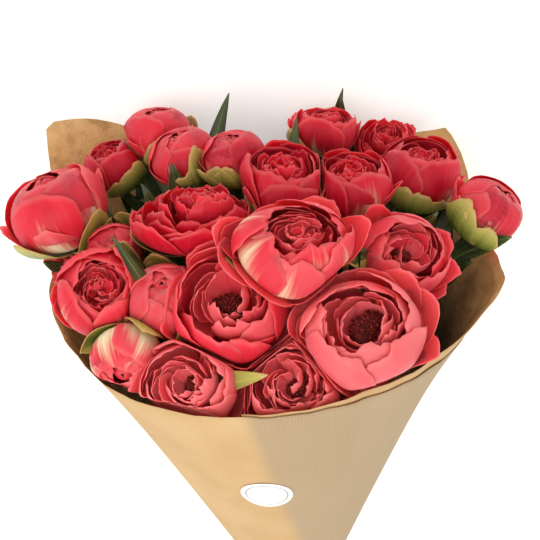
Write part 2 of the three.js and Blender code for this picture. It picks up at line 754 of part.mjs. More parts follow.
// The head's hollow holds a tuft of stamens in the most open blooms.
function stamensSolid(bloom, planes) {
  const R = bloom.radius;
  const place = (turn, out, up) =>
    bent(
      bloom.base
        .clone()
        .addScaledVector(bloom.x, out * Math.cos(turn))
        .addScaledVector(bloom.y, out * Math.sin(turn))
        .addScaledVector(bloom.z, up),
      planes,
    );
  const foot = turnedAbout(
    bloom,
    [
      [0, 0.96 * R + 0.6],
      [0.16 * R, 1.03 * R + 0.6],
      [0.12 * R, 1.11 * R],
      [0, 1.14 * R],
    ],
    6,
    planes,
  );
  const threads = Array.from({ length: STAMENS }, (_, i) => {
    const turn = (2 * Math.PI * i) / STAMENS + 0.2 * chance(bloom.index, i);
    const out = (i % 2 ? 0.29 : 0.18) * R;
    return tube([place(turn, 0.07 * R, 1.06 * R), place(turn, out, 1.3 * R)], [1, 1.3], 3);
  });
  return joined([foot, ...threads], 0.05);
}

function labelSolid() {
  const centre = inBunch(metFrom(LABEL_PIXEL, (s, f, a) => Math.hypot(s, f) - paperRadius(360, a)));
  const turn = 360 + THREE.MathUtils.radToDeg(Math.atan2(centre[0], centre[1]));
  const out = paperRadius(turn, centre[2]);
  const lift = PAPER_THICK / 2 + 0.5 + LABEL_THICK / 2;
  const columns = Array.from({ length: 9 }, (_, i) => Math.cos(Math.PI * (1 - i / 8)));
  const grid = (offset) =>
    columns.map((x) => {
      const reach = Math.max(0.16, Math.sqrt(1 - x * x)) * LABEL_RADIUS * Math.cos(CONE_ANGLE);
      const at = turn + THREE.MathUtils.radToDeg((x * LABEL_RADIUS) / out);
      return [-1, 1].map((y) => onPaper(at, centre[2] + y * reach, lift + offset));
    });
  return solidOf(bladeBetween(grid(-LABEL_THICK / 2), grid(LABEL_THICK / 2)));
}

const blooms = settled(BLOOMS.map(seated)).map(framed);
const cells = blooms.map((bloom) => cellOf(bloom, blooms));
const places = bundled(blooms);

const material = (name, color, roughness) => new THREE.MeshStandardMaterial({ name, color, roughness });
const CORAL = material("petal", 0xd9414f, 0.6);
const GREEN = material("stem_green", 0x55692f, 0.6);
const DARK_RED = material("stamen", 0x7a1a14, 0.8);
const KRAFT = material("kraft_paper", 0xd2ac78, 0.9);
const JUTE = material("jute_twine", 0xb08a55, 0.95);
const WHITE = material("label_paper", 0xf6f4f0, 0.6);

const bunch = new THREE.Group();
bunch.name = "peony_bunch";

function addNode(name, solid, look) {
  const mesh = new THREE.Mesh(geometryOf(solid), look);
  mesh.name = name;
  bunch.add(mesh);
}

blooms.forEach((bloom, i) => {
  addNode(`${bloom.name}_petals`, headSolid(bloom, cells[i]), CORAL);
  addNode(`${bloom.name}_stem`, stemSolid(bloom, cells[i], places[i]), GREEN);
  if (STAMENS_IN.includes(i + 1)) addNode(`${bloom.name}_stamens`, stamensSolid(bloom, cells[i]), DARK_RED);
});
addNode("paper_wrap", wrapSolid(), KRAFT);
addNode("twine_tie", twineSolid(), JUTE);
addNode("round_label", labelSolid(), WHITE);

export default bunch;
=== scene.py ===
"""A bunch of coral peonies in a cone of kraft paper, tied at the neck and lying on its back."""

import math

import bpy
import numpy as np
from mathutils import Matrix


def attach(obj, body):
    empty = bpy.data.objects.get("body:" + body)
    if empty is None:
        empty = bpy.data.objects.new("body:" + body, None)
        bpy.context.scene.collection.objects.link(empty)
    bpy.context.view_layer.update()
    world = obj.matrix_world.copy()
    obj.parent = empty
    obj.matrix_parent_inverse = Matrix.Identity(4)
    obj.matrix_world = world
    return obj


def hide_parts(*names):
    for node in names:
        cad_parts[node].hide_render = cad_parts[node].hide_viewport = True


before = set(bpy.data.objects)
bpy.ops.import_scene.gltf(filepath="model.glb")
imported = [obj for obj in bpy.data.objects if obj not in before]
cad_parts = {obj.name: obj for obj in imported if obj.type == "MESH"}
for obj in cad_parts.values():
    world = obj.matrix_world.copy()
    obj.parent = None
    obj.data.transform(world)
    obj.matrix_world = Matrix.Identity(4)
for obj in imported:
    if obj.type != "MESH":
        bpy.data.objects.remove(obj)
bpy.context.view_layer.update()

# Lengths are in millimetres until a mesh, the camera or a light is made.
METRE = 0.001

# How the bunch lies: its axis rises from the cut stems to the blooms.
LIE_ANGLE = math.radians(15)
TIE = np.array([0.0, -344.0, 66.0])

# The eye is in front of the bunch and above the plane across it.
VIEW_ANGLE = math.radians(32)
VIEW_ROLL = math.radians(5.5)
EYE_DISTANCE = 1000
MM_PER_PIXEL = 0.78
PICTURE_SIZE = 540
AIM = (2.6, 0, 315)
SENSOR = 36

# The dome that the blooms' middles lie on, measured along the axis from the tie.
DOME_TOP = 383
DOME_FALL = 55
DOME_REACH = 165
DOME_TILT = 0.22
REARMOST = 124
BLOOMS_TOUCH = 0.78
SETTLE_ROUNDS = 60
SIDEWAYS_GIVE = 0.15
NEIGHBOUR_REACH = 2.4
BASE_DEPTH = 0.88

# The stems.
STEM_RADIUS = 3.7
STEM_PITCH = 8.8
STEM_CUT = -85.3
CUT_JITTER = 5
BUNDLE_TURN = 50
STEM_BEND = 110
COLLAR_HEIGHT = 9

# The paper cone.
NECK_RADIUS = 31
CONE_ANGLE = math.radians(22.3)
SKIRT_END = -42
SKIRT_SPREAD = 0.22
WRAP_START = -10
WRAP_TURN = 450
NECK_RISE = 1.3
RIM_RISE = 2.2
RIM_ALONG = 308
FLARE_POWER = 6
WALL_CLEAR = 3
OVERHANG = 1.6
PAPER_THICK = 0.8

PETAL_THICK = 0.8
PETAL_SHEET = 0.32
GREEN_SHEET = 0.5
PAPER_SHEET = 0.5
LABEL_SHEET = 0.3
CLEAR = 0.35
PETAL_ROOM = 0.5
BLOOM_PRESS = 5
WALL_PRESS = 4
FLOOR_CLEAR = 1.3
LEAF_ROOM = 1.24
LEAF_FOLD = 0.25
GAP_REACH = 1.2

TIE_TURNS = 2
TWINE_RADIUS = 1.5
LABEL_RADIUS = 20
LABEL_PIXEL = (267, 494)

# The blooms, the first one peony_01: the middle in the picture, the width, the form, how far the inner
# petals shut over it (in degrees), where it faces in the picture (right, up), where its large sepals are
# (degrees from the picture's right), how far it is lifted towards the eye, and its tone, from deep red (0)
# to pink (1) and paler. The tone is partly painted light: blooms 17 and 18, low at the front, are made paler
# to lift the shade in their cups.
BLOOMS = [
    ((58, 211), 72, "bud", 150, (-0.36, 0.84), (322, 230), 94, 0.58),
    ((113, 166), 46, "goblet", 150, (-0.3, 0.78), (305, 60), 14, 0.1),
    ((158, 131), 50, "bud", 168, (-0.1, 0.88), (280, 40), 0, 0.3),
    ((184, 158), 49, "bud", 168, (-0.35, 0.75), (290, 10), 0, 0.3),
    ((234, 158), 45, "bud", 168, (-0.1, 0.85), (245, 330), 0, 0.25),
    ((194, 217), 86, "bowl", 124, (0.0, 0.9), (60, 180), 0, -0.05),
    ((285, 180), 62, "goblet", 134, (0.0, 0.78), (322, 215), 0, 0.08),
    ((351, 184), 58, "goblet", 136, (0.0, 0.86), (190, 90), 0, 0.12),
    ((326, 130), 50, "goblet", 134, (0.05, 0.9), (215, 80), 0, 0.45),
    ((387, 144), 48, "bowl", 126, (0.1, 0.7), (90, 270), 0, 0.2),
    ((417, 173), 58, "goblet", 150, (0.15, 0.78), (265, 90), 0, 0.2),
    ((487, 212), 51, "bud", 168, (0.5, 0.72), (215, 80), 42, 0.45),
    ((280, 254), 86, "bowl", 154, (0.15, 0.42), (90, 200), 24, 0.6),
    ((398, 258), 66, "bowl", 148, (0.2, 0.25), (185, 60), 0, 0.55),
    ((361, 334), 90, "bowl", 150, (0.05, 0.3), (150, 20), 4, 1.0),
    ((232, 312), 86, "bowl", 136, (-0.02, 0.3), (290, 90), -2, 0.6),
    ((200, 376), 72, "bowl", 138, (-0.05, 0.12), (100, 350), -18, 1.65),
    ((300, 386), 70, "bowl", 134, (0.0, 0.15), (60, 180), -22, 1.55),
    ((169, 302), 52, "bud", 168, (-0.1, 0.6), (110, 300), -8, 0.6),
    ((101, 294), 59, "goblet", 154, (0.03, 0.25), (320, 60), 8, 0.45),
    ((67, 268), 40, "goblet", 140, (-0.4, 0.4), (100, 350), -34, 0.5),
    ((116, 252), 40, "bud", 168, (0.0, 0.55), (100, 20), -22, 0.35),
    ((128, 358), 48, "bud", 160, (-0.1, -0.6), (160, 60), -14, 0.6),
]
# How far some stems sway to the side below their blooms.
SWAYS = {1: 16, 2: 8, 13: 26}

# Where each bloom's opening lies, off its middle to the picture's right and up, as shares of its radius.
OPENINGS = {
    6: (0.05, 0.1),
    7: (-0.05, 0.12),
    11: (0.15, 0.15),
    13: (0.1, 0.08),
    14: (0.22, 0.06),
    15: (-0.08, 0.12),
    16: (-0.1, 0.2),
    17: (-0.18, 0.1),
    18: (-0.2, 0.12),
    20: (0.02, 0.12),
}

# The single petals that stand off the bloom: the turn round it, the slope near the tip, and how many degrees
# the tip flares out.
LOOSE = {
    1: [(190, 90, 40), (75, 92, 40), (38, 98, 35), (262, 84, 0)],
    2: [(160, 94, 35), (205, 96, 25)],
    3: [(225, 92, 30), (335, 98, 20)],
    4: [(215, 96, 10)],
    5: [(190, 98, 35), (335, 96, 10)],
    7: [(215, 90, 25), (320, 92, 20)],
    8: [(190, 104, 30), (345, 92, 35)],
    9: [(165, 94, 50), (15, 94, 50), (90, 92, 30), (140, 98, 40)],
    10: [(40, 92, 40), (170, 84, 35)],
    11: [(200, 94, 20), (340, 98, 10)],
    12: [(178, 98, 50), (150, 98, 45), (200, 92, 25)],
    13: [(168, 94, 45), (198, 86, 30), (62, 92, 45), (18, 106, 12)],
    14: [(120, 92, 30), (20, 86, 35), (315, 84, 30), (345, 90, 40)],
    15: [(160, 94, 40), (132, 96, 30), (52, 96, 20), (20, 96, 15), (335, 90, 10)],
    16: [(170, 94, 40), (112, 96, 40), (345, 86, 35), (318, 80, 30), (200, 90, 30), (60, 96, 40)],
    17: [(305, 84, 30), (235, 80, 30), (212, 92, 30), (350, 90, 35), (180, 92, 40), (60, 90, 30)],
    18: [(200, 92, 40), (20, 94, 40), (330, 84, 30), (90, 92, 30), (150, 92, 30)],
    19: [(210, 90, 10)],
    20: [(205, 84, 20), (185, 88, 20), (330, 90, 20)],
    21: [(180, 84, 30)],
    23: [(262, 98, 20), (318, 98, 20)],
}
# How far up its outer petals the cream flame of a bloom reaches, as a share of their length.
CREAM = {1: 0.75, 3: 0.6, 4: 0.7, 5: 0.7, 8: 0.85, 9: 0.7, 11: 0.5, 12: 0.7, 13: 0.95, 16: 0.62, 19: 0.85}
CREAM |= {20: 0.8, 23: 1.05}
LITTLE_CREAM = 0.4
# How many millimetres further some blooms reach towards their neighbours.
SPREAD = {19: 5, 16: 1.5, 15: 1.5, 17: 2.5, 23: 2}
# How flat some blooms are, above and below their middles in the picture.
FLATTENED = {6: (0.74, 0.72), 13: (0.66, 1.0), 7: (0.94, 1.1), 3: (0.85, 1.1), 15: (0.84, 1.0)}
# More large sepals, each by its turn round the bloom and the slope at its tip.
BROAD_SEPALS = {
    2: [(318, 104), (285, 84)],
    3: [(305, 100)],
    4: [(272, 92), (306, 126)],
    5: [(262, 98), (215, 84)],
    8: [(205, 92)],
    11: [(248, 98), (292, 84)],
    12: [(222, 108), (262, 92)],
    14: [(186, 100)],
    16: [(282, 74)],
    19: [(100, 120)],
    22: [(70, 130)],
}
# The bowls that are full of petals.
FULL = (6, 10)
# The tufts of stamens: how far out each reaches, as a share of the bloom's radius.
TUFTS = {14: 0.16, 15: 0.27, 16: 0.26, 17: 0.18, 18: 0.2}

# Each leaf: the number of its bloom, its tip in the picture, how deep the tip is behind the bloom's own
# distance, how far below the bloom the leaf starts, and its width.
LEAVES = [
    (4, (229, 93), 36, 40, 18),
    (9, (343, 88), 22, 44, 15),
    (7, (297, 117), 44, 40, 17),
    (12, (512, 237), -30, 40, 20),
    (12, (488, 262), -4, 56, 20),
    (14, (438, 212), 16, 46, 20),
    (14, (336, 254), -56, 16, 19),
    (14, (359, 293), -46, 16, 14),
    (15, (371, 287), 8, 56, 14),
    (21, (43, 262), -30, 20, 16),
    (19, (112, 236), -34, 30, 14),
    (22, (104, 208), 10, 48, 18),
    (19, (122, 243), 8, 60, 24),
    (17, (247, 372), -4, 50, 13),
    (4, (140, 200), 24, 44, 22),
    (11, (464, 200), 10, 58, 22),
    (22, (132, 208), 16, 64, 22),
    (2, (136, 228), 22, 66, 24),
    (6, (168, 262), 12, 70, 26),
    (19, (160, 258), 14, 70, 24),
    (6, (214, 258), 20, 76, 22),
    (12, (452, 226), 18, 70, 26),
    (14, (446, 250), 16, 60, 24),
    (14, (440, 292), 14, 62, 26),
    (15, (436, 300), 16, 64, 26),
    (8, (352, 226), 18, 64, 22),
    (11, (402, 214), 22, 66, 20),
    (18, (356, 384), 6, 60, 18),
    (20, (134, 336), 10, 56, 20),
    (23, (106, 344), 10, 44, 16),
    (17, (250, 400), 2, 56, 16),
    (21, (48, 292), 12, 40, 14),
]

# Sepals that have come away from their blooms, given in the same way.
BRACTS = [
    (17, (268, 375), -26, 2, 19),
    (14, (348, 262), -34, 2, 24),
]

# The wrap's edge, by the turn from the picture's side of the bunch: how far along the axis it is, and how
# far it stands out from the cone.
EDGE = np.array(
    [
        (-10, 294, 2),
        (20, 297, 2),
        (50, 298, 6),
        (80, 308, 26),
        (100, 308, 18),
        (116, 322, 32),
        (132, 348, 50),
        (150, 334, 24),
        (180, 326, 8),
        (205, 352, 18),
        (214, 374, 28),
        (229, 389, 38),
        (245, 318, 20),
        (275, 300, 12),
        (300, 290, 5),
        (360, 294, 2),
        (385, 290, 2),
        (425, 283, 6),
        (440, 278, 8),
    ],
    float,
)

# The bunch's own directions, and the picture's.
SIDE = np.array([1.0, 0.0, 0.0])
AXIS = np.array([0.0, math.cos(LIE_ANGLE), math.sin(LIE_ANGLE)])
FRONT = np.array([0.0, -math.sin(LIE_ANGLE), math.cos(LIE_ANGLE)])
TO_EYE = math.cos(VIEW_ANGLE) * FRONT + math.sin(VIEW_ANGLE) * AXIS
UPRIGHT = math.cos(VIEW_ANGLE) * AXIS - math.sin(VIEW_ANGLE) * FRONT
PICTURE_RIGHT = math.cos(VIEW_ROLL) * SIDE - math.sin(VIEW_ROLL) * UPRIGHT
PICTURE_UP = math.sin(VIEW_ROLL) * SIDE + math.cos(VIEW_ROLL) * UPRIGHT


def unit(v):
    return v / np.linalg.norm(v)


def chance(a, b):
    """A number from -1 to 1 that depends only on the two numbers given."""
    x = math.sin(a * 127.1 + b * 311.7) * 43758.5453
    return 2 * (x - math.floor(x)) - 1


def wave(x, seed):
    """An uneven wave between about -1 and 1."""
    parts = [(1.0, 0.5), (2.3, 0.3), (4.1, 0.2)]
    return sum(share * np.sin(rate * x + 9 * chance(seed, rate)) for rate, share in parts)


def in_part(s, f, a):
    """Points of the bunch, by how far they are to the side, to the front and along the axis."""
    s, f, a = np.broadcast_arrays(s, f, a)
    return TIE + s[..., None] * SIDE + f[..., None] * FRONT + a[..., None] * AXIS


def in_bunch(points):
    q = points - TIE
    return q @ SIDE, q @ FRONT, q @ AXIS


EYE = in_part(*AIM) + EYE_DISTANCE * TO_EYE


def sight_line(pixel):
    half = PICTURE_SIZE / 2
    forward = -EYE_DISTANCE / MM_PER_PIXEL * TO_EYE
    return unit(forward + (pixel[0] - half) * PICTURE_RIGHT + (half - pixel[1]) * PICTURE_UP)


def met_from(pixel, height):
    """The first point on a pixel's line of sight where height falls below 0, or where it is least."""
    reach = np.arange(0.6 * EYE_DISTANCE, 1.4 * EYE_DISTANCE)
    points = EYE + reach[:, None] * sight_line(pixel)
    over = height(*in_bunch(points))
    return points[np.argmax(over < 0) if (over < 0).any() else np.argmin(over)]


def over_dome(s, f, a):
    fall = DOME_FALL * (s * s + f * f) / DOME_REACH**2 + DOME_TILT * f
    return np.minimum(f + REARMOST, a - DOME_TOP + fall)


class Bloom:
    """A bloom's place and its own frame: its base is the top of the stem."""

    def __init__(self, number, row):
        self.seen, self.width, self.form, self.shut, faces, self.sepals, lift, self.tone = row
        self.number = number
        self.index = number - 1
        self.name = f"peony_{number:02d}"
        self.radius = self.width / 2
        self.middle = met_from(self.seen, over_dome) - lift * sight_line(self.seen)
        right, up = faces
        level = math.sqrt(1 - right * right - up * up)
        self.z = level * TO_EYE + right * PICTURE_RIGHT + up * PICTURE_UP

    def settle(self):
        self.x = unit(PICTURE_RIGHT - (PICTURE_RIGHT @ self.z) * self.z)
        self.y = np.cross(self.z, self.x)
        self.base = self.middle - BASE_DEPTH * self.radius * self.z

    def at(self, turn, out, up):
        """Points by their turn round the bloom and how far they are out from its base and up."""
        across = np.cos(turn)[..., None] * self.x + np.sin(turn)[..., None] * self.y
        return self.base + out[..., None] * across + up[..., None] * self.z


def push_apart(blooms):
    """Pushes blooms apart until they only press on each other, mostly along the line of sight."""
    for _ in range(SETTLE_ROUNDS):
        for a in blooms:
            for b in blooms:
                if a is b:
                    continue
                apart = b.middle - a.middle
                gap = np.linalg.norm(apart)
                short = BLOOMS_TOUCH * (a.radius + b.radius) - gap
                if short <= 0:
                    continue
                push = apart / gap * short / 2
                deep = (push @ TO_EYE) * TO_EYE
                push = deep + SIDEWAYS_GIVE * (push - deep)
                a.middle = a.middle - push
                b.middle = b.middle + push


def find_planes(bloom, blooms):
    """The planes between a bloom and its neighbours: normals, and how far along each it may reach."""
    normals, reaches = [], []
    for other in blooms:
        apart = other.middle - bloom.middle
        gap = np.linalg.norm(apart)
        if other is bloom or gap > NEIGHBOUR_REACH * (bloom.radius + other.radius):
            continue
        share = (gap * gap + bloom.radius**2 - other.radius**2) / (2 * gap)
        normals.append(apart / gap)
        reaches.append(normals[-1] @ bloom.middle + share - CLEAR - PETAL_THICK / 2)
    bloom.planes = list(zip(normals, reaches))


def pressed(depth, soft):
    """A depth inside a wall, kept positive: it flattens out against the wall."""
    return np.where(depth > soft, depth, soft * np.exp(np.minimum(depth, soft) / soft - 1))


def cone_radius(along):
    upward = NECK_RADIUS + along * math.tan(CONE_ANGLE)
    return np.where(along >= 0, upward, NECK_RADIUS - along * SKIRT_SPREAD)


def edge_at(turn):
    """How far along the axis the wrap's edge is, and how far it stands out."""
    return np.interp(turn, EDGE[:, 0], EDGE[:, 1]), np.interp(turn, EDGE[:, 0], EDGE[:, 2])


def wall_radius(s, f, a):
    turn = np.degrees(np.arctan2(s, f)) % 360
    edge = edge_at(np.where(turn < WRAP_START, turn + 360, turn))[0] + 2
    return cone_radius(np.minimum(a, edge)) - WALL_CLEAR + np.maximum(0, a - edge) * OVERHANG


def bent(points, planes=(), room=PETAL_ROOM):
    """Bends points clear of the neighbours, of the wrap's wall and of the surface below. A room below 0 is
    kept only towards the neighbours."""
    p = points.copy()
    for _ in range(2):
        for normal, reach in planes:
            depth = reach - room - p @ normal
            p += (depth - pressed(depth, BLOOM_PRESS))[..., None] * normal
    s, f, a = in_bunch(p)
    out = np.maximum(np.hypot(s, f), 1e-6)
    limit = wall_radius(s, f, a) - max(room, 0)
    scale = np.where(limit - out < WALL_PRESS, (limit - pressed(limit - out, WALL_PRESS)) / out, 1)
    p = in_part(s * scale, f * scale, a)
    low = FLOOR_CLEAR + max(room, 0)
    p[..., 2] = low + pressed(p[..., 2] - low, WALL_PRESS)
    return p


class Blades:
    """Gathers grids of points, each a petal, a leaf or a stem, into one mesh."""

    def __init__(self):
        self.points, self.faces, self.places, self.tones, self.creams, self.slots = [], [], [], [], [], []
        self.count = 0

    def add(self, grid, seed=0.0, tone=0.5, slot=0, closed=False, cream=0.0):
        rows, columns = grid.shape[:2]
        at = self.count + np.arange(rows * columns).reshape(rows, columns)
        if closed:
            at = np.concatenate([at, at[:, :1]], axis=1)
        quads = np.stack([at[:-1, :-1], at[:-1, 1:], at[1:, 1:], at[1:, :-1]], -1).reshape(-1, 4)
        across, along = np.meshgrid(np.linspace(-1, 1, columns), np.linspace(0, 1, rows))
        self.points.append(grid.reshape(-1, 3))
        self.faces.append(quads)
        self.places.append(np.stack([across, along, np.full_like(across, seed)], -1).reshape(-1, 3))
        self.tones.append(np.full(rows * columns, tone))
        self.creams.append(np.full(rows * columns, cream))
        self.slots.append(np.full(len(quads), slot))
        self.count += rows * columns

    def made(self, name, materials, thick=0.0, back=0):
        """The mesh as an object. A thickness gives each grid a back, with the material `back` places on."""
        mesh = bpy.data.meshes.new(name)
        points = np.concatenate(self.points) * METRE
        mesh.from_pydata(points.tolist(), [], np.concatenate(self.faces).tolist())
        mesh.polygons.foreach_set("material_index", np.concatenate(self.slots).astype(np.int32))
        mesh.polygons.foreach_set("use_smooth", np.ones(len(mesh.polygons), bool))
        place = mesh.attributes.new("place", "FLOAT_VECTOR", "POINT")
        place.data.foreach_set("vector", np.concatenate(self.places).astype(np.float32).ravel())
        for label, values in (("tone", self.tones), ("cream", self.creams)):
            attribute = mesh.attributes.new(label, "FLOAT", "POINT")
            attribute.data.foreach_set("value", np.concatenate(values).astype(np.float32))
        for material in materials:
            mesh.materials.append(material)
        piece = bpy.data.objects.new(name, mesh)
        bpy.context.scene.collection.objects.link(piece)
        if thick:
            shell = piece.modifiers.new("thickness", "SOLIDIFY")
            shell.thickness = thick * METRE
            shell.offset = 0
            shell.material_offset = back
        return piece


def stand_for(piece, slot, *nodes):
    """A piece that takes the place of CAD nodes."""
    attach(piece, "root")
    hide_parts(*nodes)


# Petals

# How many points a petal's grid has along it and across it. Small petals have fewer.
PETAL_ROWS = 15
PETAL_COLUMNS = 19
SMALL_PETAL = (10, 13)
SMALL_BEND = 0.62
PETAL = {
    "from": -8,  # the slope of the midline at the root, in degrees from flat out to straight up
    "root": 0.12,  # this and the lengths below are shares of the bloom's radius
    "up": 0.06,
    "half": 0.8,
    "skew": 0.05,  # how much further out one edge lies than the other
    "roll": 0.0,  # how far both edges roll outward
    "curl": 0.0,  # how many degrees the tip turns back
    "ruffle": 0.02,
    "notch": 0.05,
    "lobes": 2.6,  # how often the edge waves
    "round": 0.36,  # how much shorter the petal is at its edges
    "limit": 1.0,  # the most it may go round the bloom, in radians either way
    "pale": 0.0,  # added to the bloom's tone
    "vary": 6,
    "jitter": 6,
    "drift": 0.0,  # how far the tip may stray sideways
    "cream": 0.3,
    "room": 0.0,  # added to the room left at the walls and the neighbours, in millimetres
}


def petal_outline(t):
    """How wide a petal is along its length, as a share of its widest."""
    widest = 0.62
    rising = 0.3 + 0.7 * np.sin(np.pi / 2 * np.minimum(t / widest, 1))
    falling = 1 - 0.2 * (np.maximum(t - widest, 0) / (1 - widest)) ** 2
    return np.where(t < widest, rising, falling)


def sepal_outline(t):
    return 0.4 + 0.6 * np.sin(np.pi * (0.1 + 0.72 * t))


def leaf_outline(t):
    return 0.04 + 0.96 * np.sin(np.pi * np.minimum(1, 0.12 + 0.88 * t)) ** 0.8


def petal_grid(bloom, petal, rows=PETAL_ROWS, columns=PETAL_COLUMNS, room=PETAL_ROOM, outline=petal_outline):
    """Points of a petal, from root to tip and across. It bows round the bloom and its edge is ruffled."""
    R = bloom.radius
    seed = petal["seed"]
    t = np.linspace(0, 1, rows)[:, None]
    u = np.linspace(-1, 1, columns)[None, :]
    rounded = 1 - petal["round"] * (1 - np.sqrt(1 - 0.97 * u * u))
    notched = 1 - petal["notch"] * (0.5 + 0.5 * wave(1.6 * petal["lobes"] * u, seed)) * t**3
    along = t * rounded * notched

    steps = np.linspace(0, 1, 40)
    back = np.clip((steps - 0.7) / 0.3, 0, 1) ** 1.5
    slope = np.radians(petal["from"] + (petal["to"] - petal["from"]) * steps - petal["curl"] * back)
    length = petal["bend"] * R * math.radians(petal["to"] - petal["from"])
    step = length / len(steps)
    outs = petal["root"] * R + np.cumsum(np.cos(slope)) * step
    ups = petal["up"] * R + 0.4 + np.cumsum(np.sin(slope)) * step

    out = np.maximum(np.interp(along, steps, outs), 0.02 * R)
    up = np.interp(along, steps, ups)
    lean = np.interp(along, steps, slope)
    half = np.minimum(petal["half"] * R * outline(along) / out, petal["limit"])
    turn = math.radians(petal["turn"]) + half * u
    reach = out * (1 + petal["skew"] * u * along + petal["roll"] * u * u * along**2)
    crease = petal["ruffle"] * R * along**3 * wave(petal["lobes"] * u, seed + 7) * (0.4 + abs(u))
    grid = bloom.at(turn, reach + crease * np.sin(lean), up - crease * np.cos(lean))
    stray = petal["drift"] * np.array([chance(seed, 8), chance(seed, 9)])
    right, top = OPENINGS.get(bloom.number, (0, 0)) + stray
    high = R * (np.maximum(up, 0) / (1.5 * R)) ** 2
    grid = grid + high[..., None] * (right * bloom.x + top * bloom.y)
    above, below = FLATTENED.get(bloom.number, (1, 1))
    seen_up = (grid - bloom.middle) @ PICTURE_UP
    flat = np.where(seen_up > 0, above, below) - 1
    room += petal["room"] - SPREAD.get(bloom.number, 0)
    return bent(grid + (flat * seen_up)[..., None] * PICTURE_UP, bloom.planes, room)


def ring(bloom, count, start, shape):
    """A ring of petals, each a little different."""
    petals = []
    for i in range(count):
        seed = bloom.number * 17.3 + shape["to"] * 3.1 + shape["bend"] * 57 + i
        petal = {**PETAL, **shape, "seed": seed}
        petal["turn"] = start + 360 / count * i + petal["jitter"] * chance(seed, 1)
        petal["to"] += petal["vary"] * chance(seed, 2)
        petal["bend"] *= 1 + 0.03 * chance(seed, 3)
        petal["half"] *= 1 + 0.1 * chance(seed, 4)
        petal["pale"] += 0.24 * chance(seed, 5)
        petal["room"] = -1.6 * (1 + chance(seed, 10)) * (petal["bend"] > 0.8)
        petal["roll"] += 0.03 * chance(seed, 7)
        petals.append(petal)
    return petals


def loose_petals(bloom):
    petals = []
    for turn, to, flare in LOOSE.get(bloom.number, []):
        seed = bloom.number * 11.7 + turn
        shape = {"from": -2, "to": to, "bend": 1.06, "half": 0.54 + 0.08 * chance(seed, 1), "up": 0.06}
        look = {"notch": 0.08, "ruffle": 0.04, "roll": -0.06, "curl": flare, "pale": 0.25, "room": -4.5}
        petals.append({**PETAL, **shape, **look, "turn": turn, "seed": seed, "round": 0.42, "cream": 0.35})
    return petals


def bud_petals(bloom, start):
    big = {"half": 1.0, "limit": 1.22, "skew": 0.06, "vary": 5, "round": 0.26}
    big["cream"] = CREAM.get(bloom.number, LITTLE_CREAM)
    closing = {"from": 10, "to": 176, "bend": 0.42, "root": 0.05, "up": 0.86, "half": 0.6}
    closing |= {"cream": 0.1, "round": 0.1}
    return [
        *ring(bloom, 3, start, {**big, "to": bloom.shut - 6, "bend": 0.87}),
        *ring(bloom, 3, start + 62, {**big, "to": bloom.shut + 16, "bend": 0.83, "up": 0.09}),
        *ring(bloom, 3, start + 20, {**big, "to": bloom.shut + 24, "bend": 0.8, "up": 0.13, "round": 0.1}),
        *ring(bloom, 3, start + 50, {**big, **closing}),
        *loose_petals(bloom),
    ]


def goblet_petals(bloom, start):
    big = {"half": 0.95, "limit": 1.1, "skew": 0.05, "notch": 0.07}
    big["cream"] = CREAM.get(bloom.number, LITTLE_CREAM)
    return [
        *ring(bloom, 4, start, {**big, "to": bloom.shut, "bend": 0.86, "vary": 9}),
        *ring(bloom, 4, start + 45, {**big, "to": bloom.shut + 5, "bend": 0.8, "up": 0.1, "vary": 9}),
        *ring(bloom, 4, start + 15, {**big, "to": bloom.shut + 3, "bend": 0.73, "up": 0.16, "ruffle": 0.04}),
        *heart_petals(bloom, start, 0.6, 1.4),
        *loose_petals(bloom),
    ]


def heart_petals(bloom, start, size, top):
    """The small ruffled petals that fill a bloom's opening, smaller and closer to its middle in turn."""
    frill = {"ruffle": 0.06, "notch": 0.2, "lobes": 3.6, "jitter": 24, "skew": 0.14, "round": 0.3}
    frill |= {"limit": 1.3, "from": 12, "to": 120, "vary": 18, "drift": 0.16, "cream": 0.1, "pale": 0.25}
    petals = []
    for k, (share, count) in enumerate([(1.0, 5), (0.84, 5), (0.68, 5), (0.52, 5), (0.36, 4), (0.2, 3)]):
        if share * size < TUFTS.get(bloom.number, 0) + 0.08:
            break
        bend = share * size
        shape = {"bend": bend, "root": 0.16 * share, "up": top - 1.46 * bend, "half": 0.68 * bend + 0.07}
        petals += ring(bloom, count, start + 37 * k, {**frill, **shape})
    return petals


